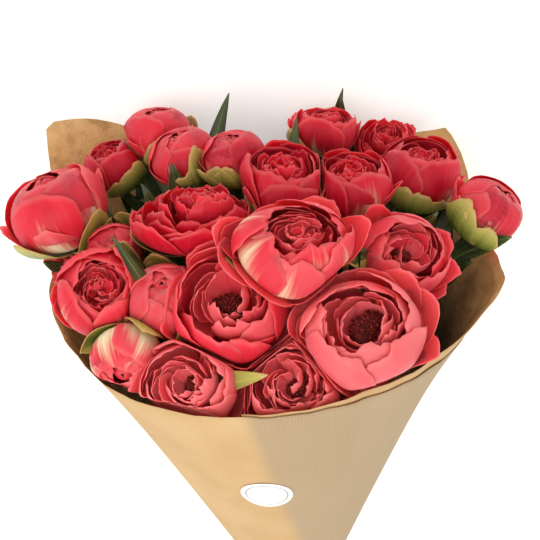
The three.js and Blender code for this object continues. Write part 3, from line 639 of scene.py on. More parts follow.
def bowl_petals(bloom, start):
    shut = bloom.shut
    usual = {"jitter": 12, "ruffle": 0.035, "cream": CREAM.get(bloom.number, LITTLE_CREAM)}
    guard = {**usual, "from": -4, "half": 0.72, "limit": 0.9, "notch": 0.08, "pale": 0.12, "vary": 12}
    cup = {**usual, "half": 0.74, "limit": 1.05, "vary": 10, "notch": 0.11, "skew": 0.08}
    cup |= {"lobes": 2.8, "round": 0.3}
    if bloom.number in FULL:
        tile = {**usual, "half": 0.6, "limit": 0.9, "vary": 9, "jitter": 9, "notch": 0.12, "cream": 0.3}
        return [
            *ring(bloom, 5, start, {**tile, "to": 92, "bend": 0.94, "half": 0.75}),
            *ring(bloom, 6, start + 36, {**tile, "to": 102, "bend": 0.86, "up": 0.1}),
            *ring(bloom, 6, start + 10, {**tile, "to": 110, "bend": 0.78, "up": 0.18}),
            *ring(bloom, 7, start + 40, {**tile, "to": 116, "bend": 0.68, "up": 0.28, "half": 0.5}),
            *heart_petals(bloom, start, 0.62, 1.5),
            *loose_petals(bloom),
        ]
    cups = [
        *ring(bloom, 4, start + 36, {**cup, "to": shut, "bend": 0.73, "up": 0.2}),
        *ring(bloom, 4, start + 80, {**cup, "to": shut + 3, "bend": 0.68, "up": 0.24}),
    ]
    cup |= {"half": 0.6, "vary": 12}
    return [
        *ring(bloom, 5, start, {**guard, "to": 80, "bend": 0.93, "curl": 10}),
        *cups,
        *ring(bloom, 5, start + 20, {**cup, "to": shut - 6, "bend": 0.62, "up": 0.3}),
        *heart_petals(bloom, start, 0.56, 1.38),
        *loose_petals(bloom),
    ]


FORMS = {"bud": bud_petals, "goblet": goblet_petals, "bowl": bowl_petals}
# The core inside the petals: how far out and up its side goes, as shares of the radius.
CORES = {
    "bud": [(0.2, 0.05), (0.6, 0.4), (0.7, 0.9), (0.5, 1.3), (0.02, 1.45)],
    "goblet": [(0.2, 0.05), (0.4, 0.4), (0.44, 0.8), (0.02, 0.9)],
    "bowl": [(0.2, 0.05), (0.45, 0.45), (0.42, 0.8), (0.02, 0.86)],
}


def head_piece(bloom):
    blades = Blades()
    for petal in FORMS[bloom.form](bloom, 90 * chance(bloom.index, 5)):
        size = (PETAL_ROWS, PETAL_COLUMNS) if petal["bend"] > SMALL_BEND else SMALL_PETAL
        grid = petal_grid(bloom, petal, *size)
        look = {"tone": bloom.tone + petal["pale"], "cream": petal["cream"]}
        blades.add(grid, seed=abs(chance(petal["seed"], 6)), **look)
    turn = np.linspace(0, 2 * np.pi, 24, endpoint=False)[None, :]
    out, up = np.array(CORES[bloom.form]).T[..., None] * bloom.radius
    blades.add(bent(bloom.at(turn, out, up), bloom.planes), tone=bloom.tone - 0.2, closed=True)
    piece = blades.made(f"{bloom.name}_bloom", [PETAL_BACK, PETAL_FACE], PETAL_SHEET, back=1)
    stand_for(piece, "petal", f"{bloom.name}_petals")


# Stems, sepals and leaves

STEM_SIDES = 12


def tube(points, radii, sides=STEM_SIDES):
    """A grid round a line of points."""
    points = np.asarray(points)
    along = np.gradient(points, axis=0)
    along /= np.linalg.norm(along, axis=1)[:, None]
    across = np.zeros_like(points)
    last = np.array([1.0, 0.0, 0.0])
    for i, way in enumerate(along):
        last = unit(last - (last @ way) * way)
        across[i] = last
    third = np.cross(along, across)
    turn = np.linspace(0, 2 * np.pi, sides, endpoint=False)
    ring_x = np.cos(turn)[None, :, None] * across[:, None]
    ring_y = np.sin(turn)[None, :, None] * third[:, None]
    return points[:, None] + np.reshape(radii, (-1, 1, 1)) * (ring_x + ring_y)


def bezier(controls, steps):
    """Points along a curve through two, three or four control points."""
    t = np.linspace(0, 1, steps)[:, None]
    points = [np.repeat(c[None], steps, axis=0) for c in controls]
    while len(points) > 1:
        points = [(1 - t) * a + t * b for a, b in zip(points, points[1:])]
    return points[0]


def bundled(blooms):
    """The places of the stems at the tie: packed round, none closer than the pitch."""
    places = []
    for bloom in blooms:
        s, f, a = in_bunch(bloom.base)
        k = (a - STEM_BEND / 2) / BUNDLE_TURN
        places.append([(s + k * f) / (1 + k * k), (f - k * s) / (1 + k * k)])
    for _ in range(400):
        for p in places:
            p[0] *= 0.99
            p[1] *= 0.99
        for p in places:
            for q in places:
                if p is q:
                    continue
                x, y = q[0] - p[0], q[1] - p[1]
                gap = math.hypot(x, y)
                if gap >= STEM_PITCH:
                    continue
                push = (STEM_PITCH - gap) / 2 / gap
                p[0] -= x * push
                p[1] -= y * push
                q[0] += x * push
                q[1] += y * push
    return places


def stem_line(bloom, place):
    """A stem's middle line: straight through the tie, then bent over to meet the bloom square."""
    s, f = place

    def on_stem(a):
        return in_part(s - a / BUNDLE_TURN * f, f + a / BUNDLE_TURN * s, a)

    bend_at = in_bunch(bloom.base)[2] - STEM_BEND
    cut = STEM_CUT + CUT_JITTER * chance(bloom.index, 77)
    under = bloom.base - min(0.4 * STEM_BEND, bloom.radius + 8) * bloom.z
    under = under + SWAYS.get(bloom.number, 0) * SIDE
    top = bloom.base - COLLAR_HEIGHT * bloom.z
    controls = [on_stem(bend_at), on_stem(bend_at + 0.45 * STEM_BEND), under, top]
    return np.vstack([on_stem(cut)[None], bezier(controls, 14)])


def leaf_grid(leaf, bloom, points):
    """A leaf rises along its stem, then leans to where its tip is seen."""
    _, seen, behind, below, width = leaf
    left, at = below, len(points) - 1
    while at > 0 and left > np.linalg.norm(points[at] - points[at - 1]):
        left -= np.linalg.norm(points[at] - points[at - 1])
        at -= 1
    root = points[at] + (points[at - 1] - points[at]) * left / np.linalg.norm(points[at] - points[at - 1])
    line = sight_line(seen)
    tip = EYE + line * ((bloom.middle - EYE) @ line + behind)
    control = root + 0.35 * np.linalg.norm(tip - root) * unit(bloom.base - COLLAR_HEIGHT * bloom.z - root)
    t = np.linspace(0, 1, 16)
    middle = bezier([root, control, tip], 16)
    tangent = np.gradient(middle, axis=0)
    tangent /= np.linalg.norm(tangent, axis=1)[:, None]
    across = np.cross(tangent, TO_EYE)
    across /= np.linalg.norm(across, axis=1)[:, None]
    fold = np.cross(across, tangent)
    u = np.linspace(-1, 1, 9)[None, :, None]
    half = (width / 2 * leaf_outline(t))[:, None, None]
    ripple = 0.06 * half * wave(14 * t, width + below)[:, None, None] * np.abs(u)
    rise = ripple - LEAF_FOLD * half * np.abs(u)
    grid = middle[:, None] + half * u * across[:, None] + rise * fold[:, None]
    if behind < 0:
        return bent(grid, room=0)
    free = grid.copy()
    for _ in range(6):
        for other in BUNCH:
            off = free - other.middle
            gap = np.linalg.norm(off, axis=-1, keepdims=True)
            room = LEAF_ROOM * other.radius + 2
            free = np.where(gap < room, other.middle + off / gap * room, free)
    free = bent(free, room=0)
    share = np.clip((t - 0.1) / 0.2, 0, 1)[:, None, None]
    return grid * (1 - share) + free * share


def gap_leaves(blooms):
    """Broad leaves below the gaps between neighbouring blooms."""
    leaves = []
    for a in blooms:
        for b in blooms:
            if b.number <= a.number:
                continue
            apart = np.subtract(b.seen, a.seen)
            if np.hypot(*apart) * MM_PER_PIXEL > GAP_REACH * (a.radius + b.radius):
                continue
            seen = a.seen + apart * a.radius / (a.radius + b.radius)
            leaves.append((a.number, seen, 26, 64, 30))
            leaves.append((b.number, seen, 40, 70, 28))
    return leaves


def green_piece(bloom, place):
    points = stem_line(bloom, place)
    blades = Blades()
    R = bloom.radius
    collar = [bloom.base - 2.4 * bloom.z, bloom.base]
    radii = [STEM_RADIUS] * len(points) + [0.17 * R, 0.2 * R]
    cut = [points[0] - 0.01 * AXIS]
    blades.add(tube([*cut, *points, *collar], [0.05, *radii]), seed=0.5, closed=True)
    open_bloom = bloom.form == "bowl"
    slope = 62 if open_bloom else 96 if R < 30 else 82
    large = [(turn, slope) for turn in bloom.sepals]
    for turn, to in large + BROAD_SEPALS.get(bloom.number, []):
        sepal = {
            **PETAL,
            "from": -6 if open_bloom else -8,
            "to": to,
            "bend": (0.97 if open_bloom else 0.92) + 5.8 / R,
            "root": 0.1,
            "up": -1.8 / R,
            "half": 0.46 if open_bloom else min(0.78, 18 / R),
            "skew": 0,
            "ruffle": 0.012,
            "notch": 0.08,
            "round": 0.5,
            "limit": 1.1,
            "room": -3.2,
            "turn": turn,
            "seed": turn + bloom.number,
        }
        grid = petal_grid(bloom, sepal, 13, 15, room=0, outline=sepal_outline)
        blades.add(grid, seed=abs(chance(turn, bloom.number)), slot=1)
    leaves = [leaf for leaf in LEAVES + gap_leaves(BUNCH) if leaf[0] == bloom.number]
    for leaf in leaves:
        blades.add(leaf_grid(leaf, bloom, points), seed=abs(chance(leaf[4], leaf[3])), slot=2)
    bracts = [leaf for leaf in BRACTS if leaf[0] == bloom.number]
    for leaf in bracts:
        blades.add(leaf_grid(leaf, bloom, points), seed=0.4, slot=1)
    piece = blades.made(f"{bloom.name}_green", [STEM_SKIN, SEPAL_SKIN, LEAF_SKIN], GREEN_SHEET)
    stand_for(piece, "stem_green", f"{bloom.name}_stem")


# Stamens

ANTHERS = 170


def tuft_outline(turn, seed):
    return 1 + 0.24 * np.sin(2 * turn + 9 * chance(seed, 5)) + 0.14 * np.sin(3 * turn + 9 * chance(seed, 6))


def stamens_piece(bloom):
    """A dense tuft of dark anthers in the hollow of an open bloom."""
    R = bloom.radius
    blades = Blades()
    around = np.linspace(0, 2 * np.pi, 20, endpoint=False)[None, :]
    wide = TUFTS[bloom.number]
    cushion = np.array([(0.02, 0.9), (0.8, 0.9), (0.9, 1.08), (0.65, 1.17), (0.02, 1.2)]) * R
    cushion[:, 0] *= wide
    dome = bloom.at(around, cushion[:, :1] * tuft_outline(around, bloom.number), cushion[:, 1:])
    blades.add(bent(dome, bloom.planes), seed=0.0, closed=True)
    for i in range(ANTHERS):
        share = math.sqrt((i + 0.5) / ANTHERS)
        turn = 2.4 * i + 0.3 * chance(i, bloom.number)
        out = wide * R * share * tuft_outline(turn, bloom.number)
        low = (1.19 - 0.16 * share**2 + 0.03 * chance(i, 3)) * R
        lean = 1 + 0.05 * chance(i, 5)
        turns = np.array([turn, turn + 0.1 * chance(i, 6)])
        ends = bloom.at(turns, np.array([out, out * lean + 0.8 * share]), np.array([low, low + 2.2]))
        ends = bent(ends, bloom.planes)
        way = unit(ends[1] - ends[0])
        profile = [(-0.6, 0.05), (0.0, 0.7), (1.1, 0.85), (2.0, 0.6), (2.4, 0.05)]
        head = tube([ends[0] + d * way for d, _ in profile], [r for _, r in profile], 6)
        blades.add(head, seed=abs(chance(i, 9)), closed=True)
    piece = blades.made(f"{bloom.name}_tuft", [ANTHER_SKIN])
    stand_for(piece, "stamen", f"{bloom.name}_stamens")


# The wrap, its tie and its label


def paper_radius(turn, along):
    """The radius of the paper's middle: it grows with the turn, and stands out near the edge."""
    edge, out = edge_at(turn)
    rise = NECK_RISE + (RIM_RISE - NECK_RISE) * np.maximum(0, along / RIM_ALONG)
    flare = out * np.maximum(0, along / edge) ** FLARE_POWER
    return cone_radius(along) + rise * (turn - WRAP_START) / 360 + flare


def on_paper(turn, along, offset=0.0):
    """Points on the paper. Where it overlaps itself, its outer layer lies over its inner one."""
    out = paper_radius(turn, along)
    out = np.where(turn > 340, np.maximum(out, paper_radius(turn - 360, along) + 1), out) + offset
    angle = np.radians(turn)
    p = in_part(out * np.sin(angle), out * np.cos(angle), along)
    p[..., 2] = np.maximum(p[..., 2], PAPER_THICK / 2 - offset)
    return p


def wrap_piece():
    turn = np.arange(WRAP_START, WRAP_START + WRAP_TURN + 0.1, 2.5)[None, :]
    edge = edge_at(turn)[0] + 1.2 * wave(turn / 4, 3)
    skirt = np.repeat(np.linspace(SKIRT_END, 0, 5)[:, None], turn.shape[1], axis=1)
    along = np.vstack([skirt, np.linspace(0.03, 1, 34)[:, None] * edge])
    over = np.clip((turn - 325) / 25, 0, 1)
    gathers = (1 - over) * wave(turn / 3.5, 11) + over * wave((turn - 360) / 3.5, 11)
    gathers = 1.1 * np.exp(-((along / 70) ** 2)) * gathers
    ripples = (1 - over) * wave(turn / 7, 5) + over * wave((turn - 360) / 7, 5)
    ripples = 1.6 * np.clip(along / 300, 0, 1) ** 3 * ripples
    offset = np.where(np.abs(along) < 8, 0.2, 1) * gathers + ripples
    grid = on_paper(np.broadcast_to(turn, along.shape), along, offset)
    grid[..., 2] = np.maximum(grid[..., 2], 0.3)
    blades = Blades()
    blades.add(grid)
    # Where each point lies on the flat sheet, so that the ribs run straight down the sheet.
    slant = (along + NECK_RADIUS / math.tan(CONE_ANGLE)) / math.cos(CONE_ANGLE)
    round_sheet = np.radians(turn - 360) * math.sin(CONE_ANGLE)
    flat = [slant * np.sin(round_sheet), slant * np.cos(round_sheet), np.broadcast_to(turn, along.shape)]
    blades.places = [np.stack(flat, -1).reshape(-1, 3)]
    piece = blades.made("kraft_wrap", [KRAFT_OUTSIDE, KRAFT_INSIDE], PAPER_SHEET, back=1)
    stand_for(piece, "kraft_paper", "paper_wrap")


def twine_radius(along):
    layers = NECK_RISE * WRAP_TURN / 360 + PAPER_THICK / 2
    return cone_radius(along) + layers + CLEAR + TWINE_RADIUS * 1.4


def twine_piece():
    share = np.linspace(0, 1, 120)
    turn = np.radians(WRAP_START + 360 * TIE_TURNS * share)
    along = 2.2 * TWINE_RADIUS * (share - 0.5) * TIE_TURNS
    out = twine_radius(along)
    blades = Blades()
    strand = TWINE_RADIUS * 0.62
    for k in range(3):
        twist = share * 150 + 2 * np.pi * k / 3
        off = 0.5 * TWINE_RADIUS
        radius = out + off * np.cos(twist)
        line = in_part(radius * np.sin(turn), radius * np.cos(turn), along + off * np.sin(twist))
        fine = finer(line, 4)
        blades.add(tube(fine, [strand] * len(fine), 6), seed=k / 3, closed=True)
    middle = math.radians(WRAP_START)
    out = twine_radius(0) + 1.2
    centre = in_part(out * math.sin(middle), out * math.cos(middle), 0)
    s = np.linspace(0, 2 * np.pi, 60)
    outward = math.sin(middle) * SIDE + math.cos(middle) * FRONT
    sideways = np.cross(AXIS, outward)
    knot = (
        centre
        + (3.4 * np.sin(s) + 1.2 * np.sin(2 * s))[:, None] * sideways
        + (2.6 * np.cos(s) - 1.4 * np.cos(2 * s))[:, None] * AXIS
        + (1.0 * np.sin(3 * s))[:, None] * outward
    )
    blades.add(tube(knot, [1.25] * len(knot), 8), seed=0.9, closed=True)
    piece = blades.made("jute_tie", [JUTE_SKIN])
    stand_for(piece, "jute_twine", "twine_tie")


def finer(line, times):
    """A line with each of its steps cut into equal parts, `times` in all."""
    at = np.arange(len(line))
    fine = np.linspace(0, len(line) - 1, times * (len(line) - 1) + 1)
    return np.stack([np.interp(fine, at, line[:, k]) for k in range(3)], -1)


def label_piece():
    s, f, a = in_bunch(met_from(LABEL_PIXEL, lambda s, f, a: np.hypot(s, f) - paper_radius(360, a)))
    turn = 360 + math.degrees(math.atan2(s, f))
    out = paper_radius(turn, a)
    share = np.linspace(0.02, 1, 14)[:, None]
    around = np.linspace(0, 2 * np.pi, 64, endpoint=False)[None, :]
    x = LABEL_RADIUS * share * np.cos(around)
    y = LABEL_RADIUS * share * np.sin(around)
    lift = PAPER_THICK / 2 + 0.8
    grid = on_paper(turn + np.degrees(x / out), a + y * math.cos(CONE_ANGLE), lift)
    blades = Blades()
    blades.add(grid, closed=True)
    blades.places = [np.stack([x, y, np.zeros_like(x)], -1).reshape(-1, 3)]
    piece = blades.made("plain_label", [LABEL_SKIN], LABEL_SHEET)
    stand_for(piece, "label_paper", "round_label")


# Materials


def colour(code):
    """An sRGB hex code as linear light."""
    parts = [int(code[i : i + 2], 16) / 255 for i in (1, 3, 5)]
    return [p / 12.92 if p <= 0.04045 else ((p + 0.055) / 1.055) ** 2.4 for p in parts] + [1.0]


def node(tree, kind, inputs, output=0, **settings):
    """Adds a shader node with its settings and links, and gives one of its outputs. Each input is a value or
    another node's output."""
    made = tree.nodes.new(f"ShaderNode{kind}")
    for name, value in settings.items():
        setattr(made, name, value)
    for socket, value in inputs.items():
        if isinstance(value, bpy.types.NodeSocket):
            tree.links.new(value, made.inputs[socket])
        else:
            made.inputs[socket].default_value = value
    return made.outputs[output]


# Settings that many nodes share, and the numbers of the sockets of a node that mixes colours.
RGBA = {"data_type": "RGBA"}
SOFT = {"interpolation_type": "SMOOTHSTEP"}
SHARE, UNDER, OVER, MIXED = 0, 6, 7, 2


def start_material(name, roughness, specular):
    """A new material, its tree, its shader and the three parts of the place attribute."""
    material = bpy.data.materials.new(name)
    material.use_nodes = True
    tree = material.node_tree
    shader = next(n for n in tree.nodes if n.type == "BSDF_PRINCIPLED")
    shader.inputs["Roughness"].default_value = roughness
    shader.inputs["Specular IOR Level"].default_value = specular
    place = node(tree, "Attribute", {}, "Vector", attribute_name="place")
    return material, tree, shader, node(tree, "SeparateXYZ", {0: place}).node.outputs


# The usual half width and length of a blade, in millimetres. A pattern's cells are given in the same way.
PETAL_SIZE = (18, 45)
SEPAL_SIZE = (10, 28)
LEAF_SIZE = (12, 66)
SEED_SHIFT = 37.0


def along_blade(tree, place, size, cell):
    """A vector for a pattern whose cells run along a petal, a sepal or a leaf."""
    across, along, seed = place
    parts = {
        0: node(tree, "Math", {0: across, 1: size[0] / cell[0]}, operation="MULTIPLY"),
        1: node(tree, "Math", {0: along, 1: size[1] / cell[1]}, operation="MULTIPLY"),
        2: node(tree, "Math", {0: seed, 1: SEED_SHIFT}, operation="MULTIPLY"),
    }
    return node(tree, "CombineXYZ", parts)


# Real veins in a petal are under 1 mm apart. They are drawn 2 mm apart, so that they show.
PETAL_VEIN = (2, 50)
PETAL_MOTTLE = (12, 30)


def petal_material(name, deep, middle, pale, tip, cream_share):
    """Fresh petal, matt and a little translucent: coral with fine veins along it, a cream base with red
    streaks and a paler edge."""
    material, tree, shader, place = start_material(name, 0.45, 0.22)
    across, along, _ = place
    tone = node(tree, "Attribute", {}, "Fac", attribute_name="tone")
    reach = node(tree, "Attribute", {}, "Fac", attribute_name="cream")
    vein = along_blade(tree, place, PETAL_SIZE, PETAL_VEIN)
    veins = node(tree, "TexNoise", {"Vector": vein, "Scale": 1, "Detail": 4, "Roughness": 0.6})
    cloud = along_blade(tree, place, PETAL_SIZE, PETAL_MOTTLE)
    mottle = node(tree, "TexNoise", {"Vector": cloud, "Scale": 1, "Detail": 2})
    mottle = node(tree, "Math", {0: mottle, 1: 0.7, 2: -0.35}, operation="MULTIPLY_ADD")
    shade = node(tree, "Math", {0: tone, 1: mottle}, operation="ADD")
    share = node(tree, "MapRange", {"Value": shade, "From Min": 0.0, "From Max": 0.5}, **SOFT)
    body = node(tree, "Mix", {SHARE: share, UNDER: colour(deep), OVER: colour(middle)}, MIXED, **RGBA)
    share = node(tree, "MapRange", {"Value": shade, "From Min": 0.45, "From Max": 1.15}, **SOFT)
    body = node(tree, "Mix", {SHARE: share, UNDER: body, OVER: colour(pale)}, MIXED, **RGBA)
    share = node(tree, "MapRange", {"Value": veins, "From Min": 0.5, "From Max": 0.8, "To Max": 0.2}, **SOFT)
    body = node(tree, "Mix", {SHARE: share, UNDER: body, OVER: colour(pale)}, MIXED, **RGBA)
    away = node(tree, "Math", {0: across}, operation="ABSOLUTE")
    edge = node(tree, "Math", {0: along, 1: away}, operation="MAXIMUM")
    share = node(tree, "MapRange", {"Value": edge, "From Min": 0.9, "From Max": 1.0, "To Max": 0.2}, **SOFT)
    body = node(tree, "Mix", {SHARE: share, UNDER: body, OVER: colour(tip)}, MIXED, **RGBA)
    flame = node(tree, "Math", {0: away, 1: 0.6, 2: along}, operation="MULTIPLY_ADD")
    streaks = node(tree, "Math", {0: veins, 1: -0.8, 2: 0.4}, operation="MULTIPLY_ADD")
    flame = node(tree, "Math", {0: flame, 1: streaks}, operation="ADD")
    reach = node(tree, "Math", {0: reach, 1: cream_share}, operation="MULTIPLY")
    short = node(tree, "Math", {0: reach, 1: flame}, operation="SUBTRACT")
    cream = node(tree, "MapRange", {"Value": short, "From Min": -0.05, "From Max": 0.5}, **SOFT)
    body = node(tree, "Mix", {SHARE: cream, UNDER: body, OVER: colour("#F8DDB4")}, MIXED, **RGBA)
    tree.links.new(body, shader.inputs["Base Color"])
    shader.inputs["Sheen Weight"].default_value = 0.02
    shader.inputs["Sheen Roughness"].default_value = 0.5
    shader.inputs["Subsurface Weight"].default_value = 0.4
    shader.inputs["Subsurface Radius"].default_value = (1.0, 0.3, 0.25)
    shader.inputs["Subsurface Scale"].default_value = 3 * METRE
    bump = node(tree, "Bump", {"Height": veins, "Distance": 0.5 * METRE, "Strength": 0.5})
    tree.links.new(bump, shader.inputs["Normal"])
    return material


STEM_BLOTCH = 16.67


def stem_material():
    """Smooth waxy stem, with a soft gloss: mid green with soft blotches, and darkened with painted shade up
    among the leaves.
    """
    material, tree, shader, (_, along, _) = start_material("waxy green peony stem", 0.45, 0.4)
    place = node(tree, "TexCoord", {}, "Object")
    blotch = node(tree, "TexNoise", {"Vector": place, "Scale": 1 / (STEM_BLOTCH * METRE), "Detail": 3})
    share = node(tree, "MapRange", {"Value": blotch, "From Min": 0.35, "From Max": 0.7}, **SOFT)
    inputs = {SHARE: share, UNDER: colour("#4E6A2C"), OVER: colour("#7C9442")}
    body = node(tree, "Mix", inputs, MIXED, **RGBA)
    # Painted shade: the stem turns dark green above its foot, where the leaves and blooms shade it.
    share = {"Value": along, "From Min": 0.15, "From Max": 0.35, "To Max": 0.8}
    share = node(tree, "MapRange", share, **SOFT)
    body = node(tree, "Mix", {SHARE: share, UNDER: body, OVER: colour("#1F2A14")}, MIXED, **RGBA)
    tree.links.new(body, shader.inputs["Base Color"])
    return material


# Drawn coarser than real veins, so that they show.
SEPAL_VEIN = (2, 40)


def sepal_material():
    """Fleshy cupped sepal, with a soft gloss: yellow-green, paler towards its edge and reddish at it."""
    material, tree, shader, place = start_material("yellow-green peony sepal", 0.42, 0.4)
    across, along, _ = place
    vein = along_blade(tree, place, SEPAL_SIZE, SEPAL_VEIN)
    veins = node(tree, "TexNoise", {"Vector": vein, "Scale": 1, "Detail": 3})
    share = node(tree, "MapRange", {"Value": veins, "From Min": 0.35, "From Max": 0.7}, **SOFT)
    inputs = {SHARE: share, UNDER: colour("#526923"), OVER: colour("#86913C")}
    body = node(tree, "Mix", inputs, MIXED, **RGBA)
    away = node(tree, "Math", {0: across}, operation="ABSOLUTE")
    edge = node(tree, "Math", {0: along, 1: away}, operation="MAXIMUM")
    share = node(tree, "MapRange", {"Value": edge, "From Min": 0.5, "From Max": 1.0, "To Max": 0.7}, **SOFT)
    body = node(tree, "Mix", {SHARE: share, UNDER: body, OVER: colour("#C3B662")}, MIXED, **RGBA)
    share = node(tree, "MapRange", {"Value": edge, "From Min": 0.9, "From Max": 1.0, "To Max": 0.5}, **SOFT)
    body = node(tree, "Mix", {SHARE: share, UNDER: body, OVER: colour("#D08A60")}, MIXED, **RGBA)
    tree.links.new(body, shader.inputs["Base Color"])
    bump = node(tree, "Bump", {"Height": veins, "Distance": 0.4 * METRE, "Strength": 0.5})
    tree.links.new(bump, shader.inputs["Normal"])
    return material


LEAF_MOTTLE = (8, 22)
SIDE_VEIN_PITCH = 6.1


def leaf_material():
    """Waxy leaf, with a soft gloss: dark green with a pale midrib and side veins."""
    material, tree, shader, place = start_material("dark green peony leaf", 0.4, 0.45)
    across, along, _ = place
    cloud = along_blade(tree, place, LEAF_SIZE, LEAF_MOTTLE)
    mottle = node(tree, "TexNoise", {"Vector": cloud, "Scale": 1, "Detail": 3})
    share = node(tree, "MapRange", {"Value": mottle, "From Min": 0.35, "From Max": 0.7}, **SOFT)
    inputs = {SHARE: share, UNDER: colour("#252F18"), OVER: colour("#4B5A2A")}
    body = node(tree, "Mix", inputs, MIXED, **RGBA)
    away = node(tree, "Math", {0: across}, operation="ABSOLUTE")
    slant = node(tree, "Math", {0: away, 1: -0.35, 2: along}, operation="MULTIPLY_ADD")
    turn = math.pi * LEAF_SIZE[1] / SIDE_VEIN_PITCH
    slant = node(tree, "Math", {0: slant, 1: turn}, operation="MULTIPLY")
    ribs = node(tree, "Math", {0: slant}, operation="SINE")
    ribs = node(tree, "Math", {0: ribs}, operation="ABSOLUTE")
    veins = {"Value": ribs, "From Min": 0.16, "From Max": 0.0, "To Max": 0.35}
    veins = node(tree, "MapRange", veins, **SOFT)
    midrib = node(tree, "MapRange", {"Value": away, "From Min": 0.1, "From Max": 0.02}, **SOFT)
    lines = node(tree, "Math", {0: veins, 1: midrib}, operation="MAXIMUM")
    share = node(tree, "Math", {0: lines, 1: 0.45}, operation="MULTIPLY")
    body = node(tree, "Mix", {SHARE: share, UNDER: body, OVER: colour("#7F9257")}, MIXED, **RGBA)
    tree.links.new(body, shader.inputs["Base Color"])
    bump = node(tree, "Bump", {"Height": lines, "Distance": 0.4 * METRE, "Strength": -0.5})
    tree.links.new(bump, shader.inputs["Normal"])
    return material


def anther_material():
    """Powdery stamens, quite matt: dark red-brown anthers, some of them lighter."""
    material, tree, shader, (_, _, seed) = start_material("dark red peony stamens", 0.75, 0.25)
    inputs = {SHARE: seed, UNDER: colour("#4E0E0E"), OVER: colour("#8A2A1E")}
    body = node(tree, "Mix", inputs, MIXED, **RGBA)
    tree.links.new(body, shader.inputs["Base Color"])
    return material


# The kraft paper's patterns, in millimetres. Real fibres are far thinner, and are drawn as coarse as they
# need to be to show.
RIB_PITCH = 2.3
CLOUD_SIZE = 50
FIBRE_ACROSS = 5 / 6
FIBRE_ALONG = 4
CRUMPLE_SIZE = 14.3


def kraft_base(name, light, dark):
    """Kraft paper, quite matt: fine ribs down the sheet, fibres along it and soft clouds."""
    material, tree, shader, (across, along, turn) = start_material(name, 0.78, 0.2)
    ribs = node(tree, "Math", {0: across, 1: 2 * math.pi / RIB_PITCH}, operation="MULTIPLY")
    ribs = node(tree, "Math", {0: ribs}, operation="SINE")
    ribs = node(tree, "Math", {0: ribs, 1: 0.5, 2: 0.5}, operation="MULTIPLY_ADD")
    layer = node(tree, "Math", {0: turn, 1: 0.02}, operation="MULTIPLY")
    sheet = node(tree, "CombineXYZ", {0: across, 1: along, 2: layer})
    cloud = node(tree, "TexNoise", {"Vector": sheet, "Scale": 1 / CLOUD_SIZE, "Detail": 3})
    grain = {"Vector": sheet, "Scale": (1 / FIBRE_ACROSS, 1 / FIBRE_ALONG, 1.0)}
    grain = node(tree, "Mapping", grain)
    fibre = node(tree, "TexNoise", {"Vector": grain, "Scale": 1, "Detail": 4, "Roughness": 0.7})
    share = node(tree, "MapRange", {"Value": cloud, "From Min": 0.3, "From Max": 0.7}, **SOFT)
    body = node(tree, "Mix", {SHARE: share, UNDER: colour(light), OVER: colour(dark)}, MIXED, **RGBA)
    share = {"Value": fibre, "From Min": 0.5, "From Max": 0.75, "To Max": 0.25}
    share = node(tree, "MapRange", share, **SOFT)
    body = node(tree, "Mix", {SHARE: share, UNDER: body, OVER: colour("#A67F4C")}, MIXED, **RGBA)
    return material, tree, shader, across, along, ribs, fibre, body


def kraft_outside():
    """The paper's outside: warm on the left of the overlap, and on its right greyer with painted shade and
    more clearly ribbed.
    """
    name = "ribbed kraft paper, outside"
    material, tree, shader, across, along, ribs, fibre, body = kraft_base(name, "#C9A97C", "#BF9E70")
    # Painted shade: right of the overlap's edge the sheet is greyed, as if turned away from the light.
    right = node(tree, "Math", {0: along, 1: 0.134, 2: across}, operation="MULTIPLY_ADD")
    right = node(tree, "MapRange", {"Value": right, "From Min": 23.0, "From Max": 37.0}, **SOFT)
    share = node(tree, "Math", {0: right, 1: 0.85}, operation="MULTIPLY")
    body = node(tree, "Mix", {SHARE: share, UNDER: body, OVER: colour("#A8957A")}, MIXED, **RGBA)
    band = node(tree, "MapRange", {"Value": across, "From Min": 75.0, "From Max": 35.0}, **SOFT)
    band = node(tree, "Math", {0: band, 1: right}, operation="MULTIPLY")
    upper = node(tree, "MapRange", {"Value": along, "From Min": 250.0, "From Max": 330.0}, **SOFT)
    band = node(tree, "Math", {0: band, 1: upper}, operation="MULTIPLY")
    band = node(tree, "Math", {0: band, 1: 0.75, 2: 0.25}, operation="MULTIPLY_ADD")
    ribs = node(tree, "Math", {0: ribs, 1: band}, operation="MULTIPLY")
    share = node(tree, "Math", {0: ribs, 1: 0.22}, operation="MULTIPLY")
    body = node(tree, "Mix", {SHARE: share, UNDER: body, OVER: colour("#A67F4C")}, MIXED, **RGBA)
    tree.links.new(body, shader.inputs["Base Color"])
    height = node(tree, "Math", {0: ribs, 1: -0.8}, operation="MULTIPLY")
    height = node(tree, "Math", {0: fibre, 1: 0.3, 2: height}, operation="MULTIPLY_ADD")
    bump = node(tree, "Bump", {"Height": height, "Distance": 0.22 * METRE, "Strength": 1.0})
    tree.links.new(bump, shader.inputs["Normal"])
    return material


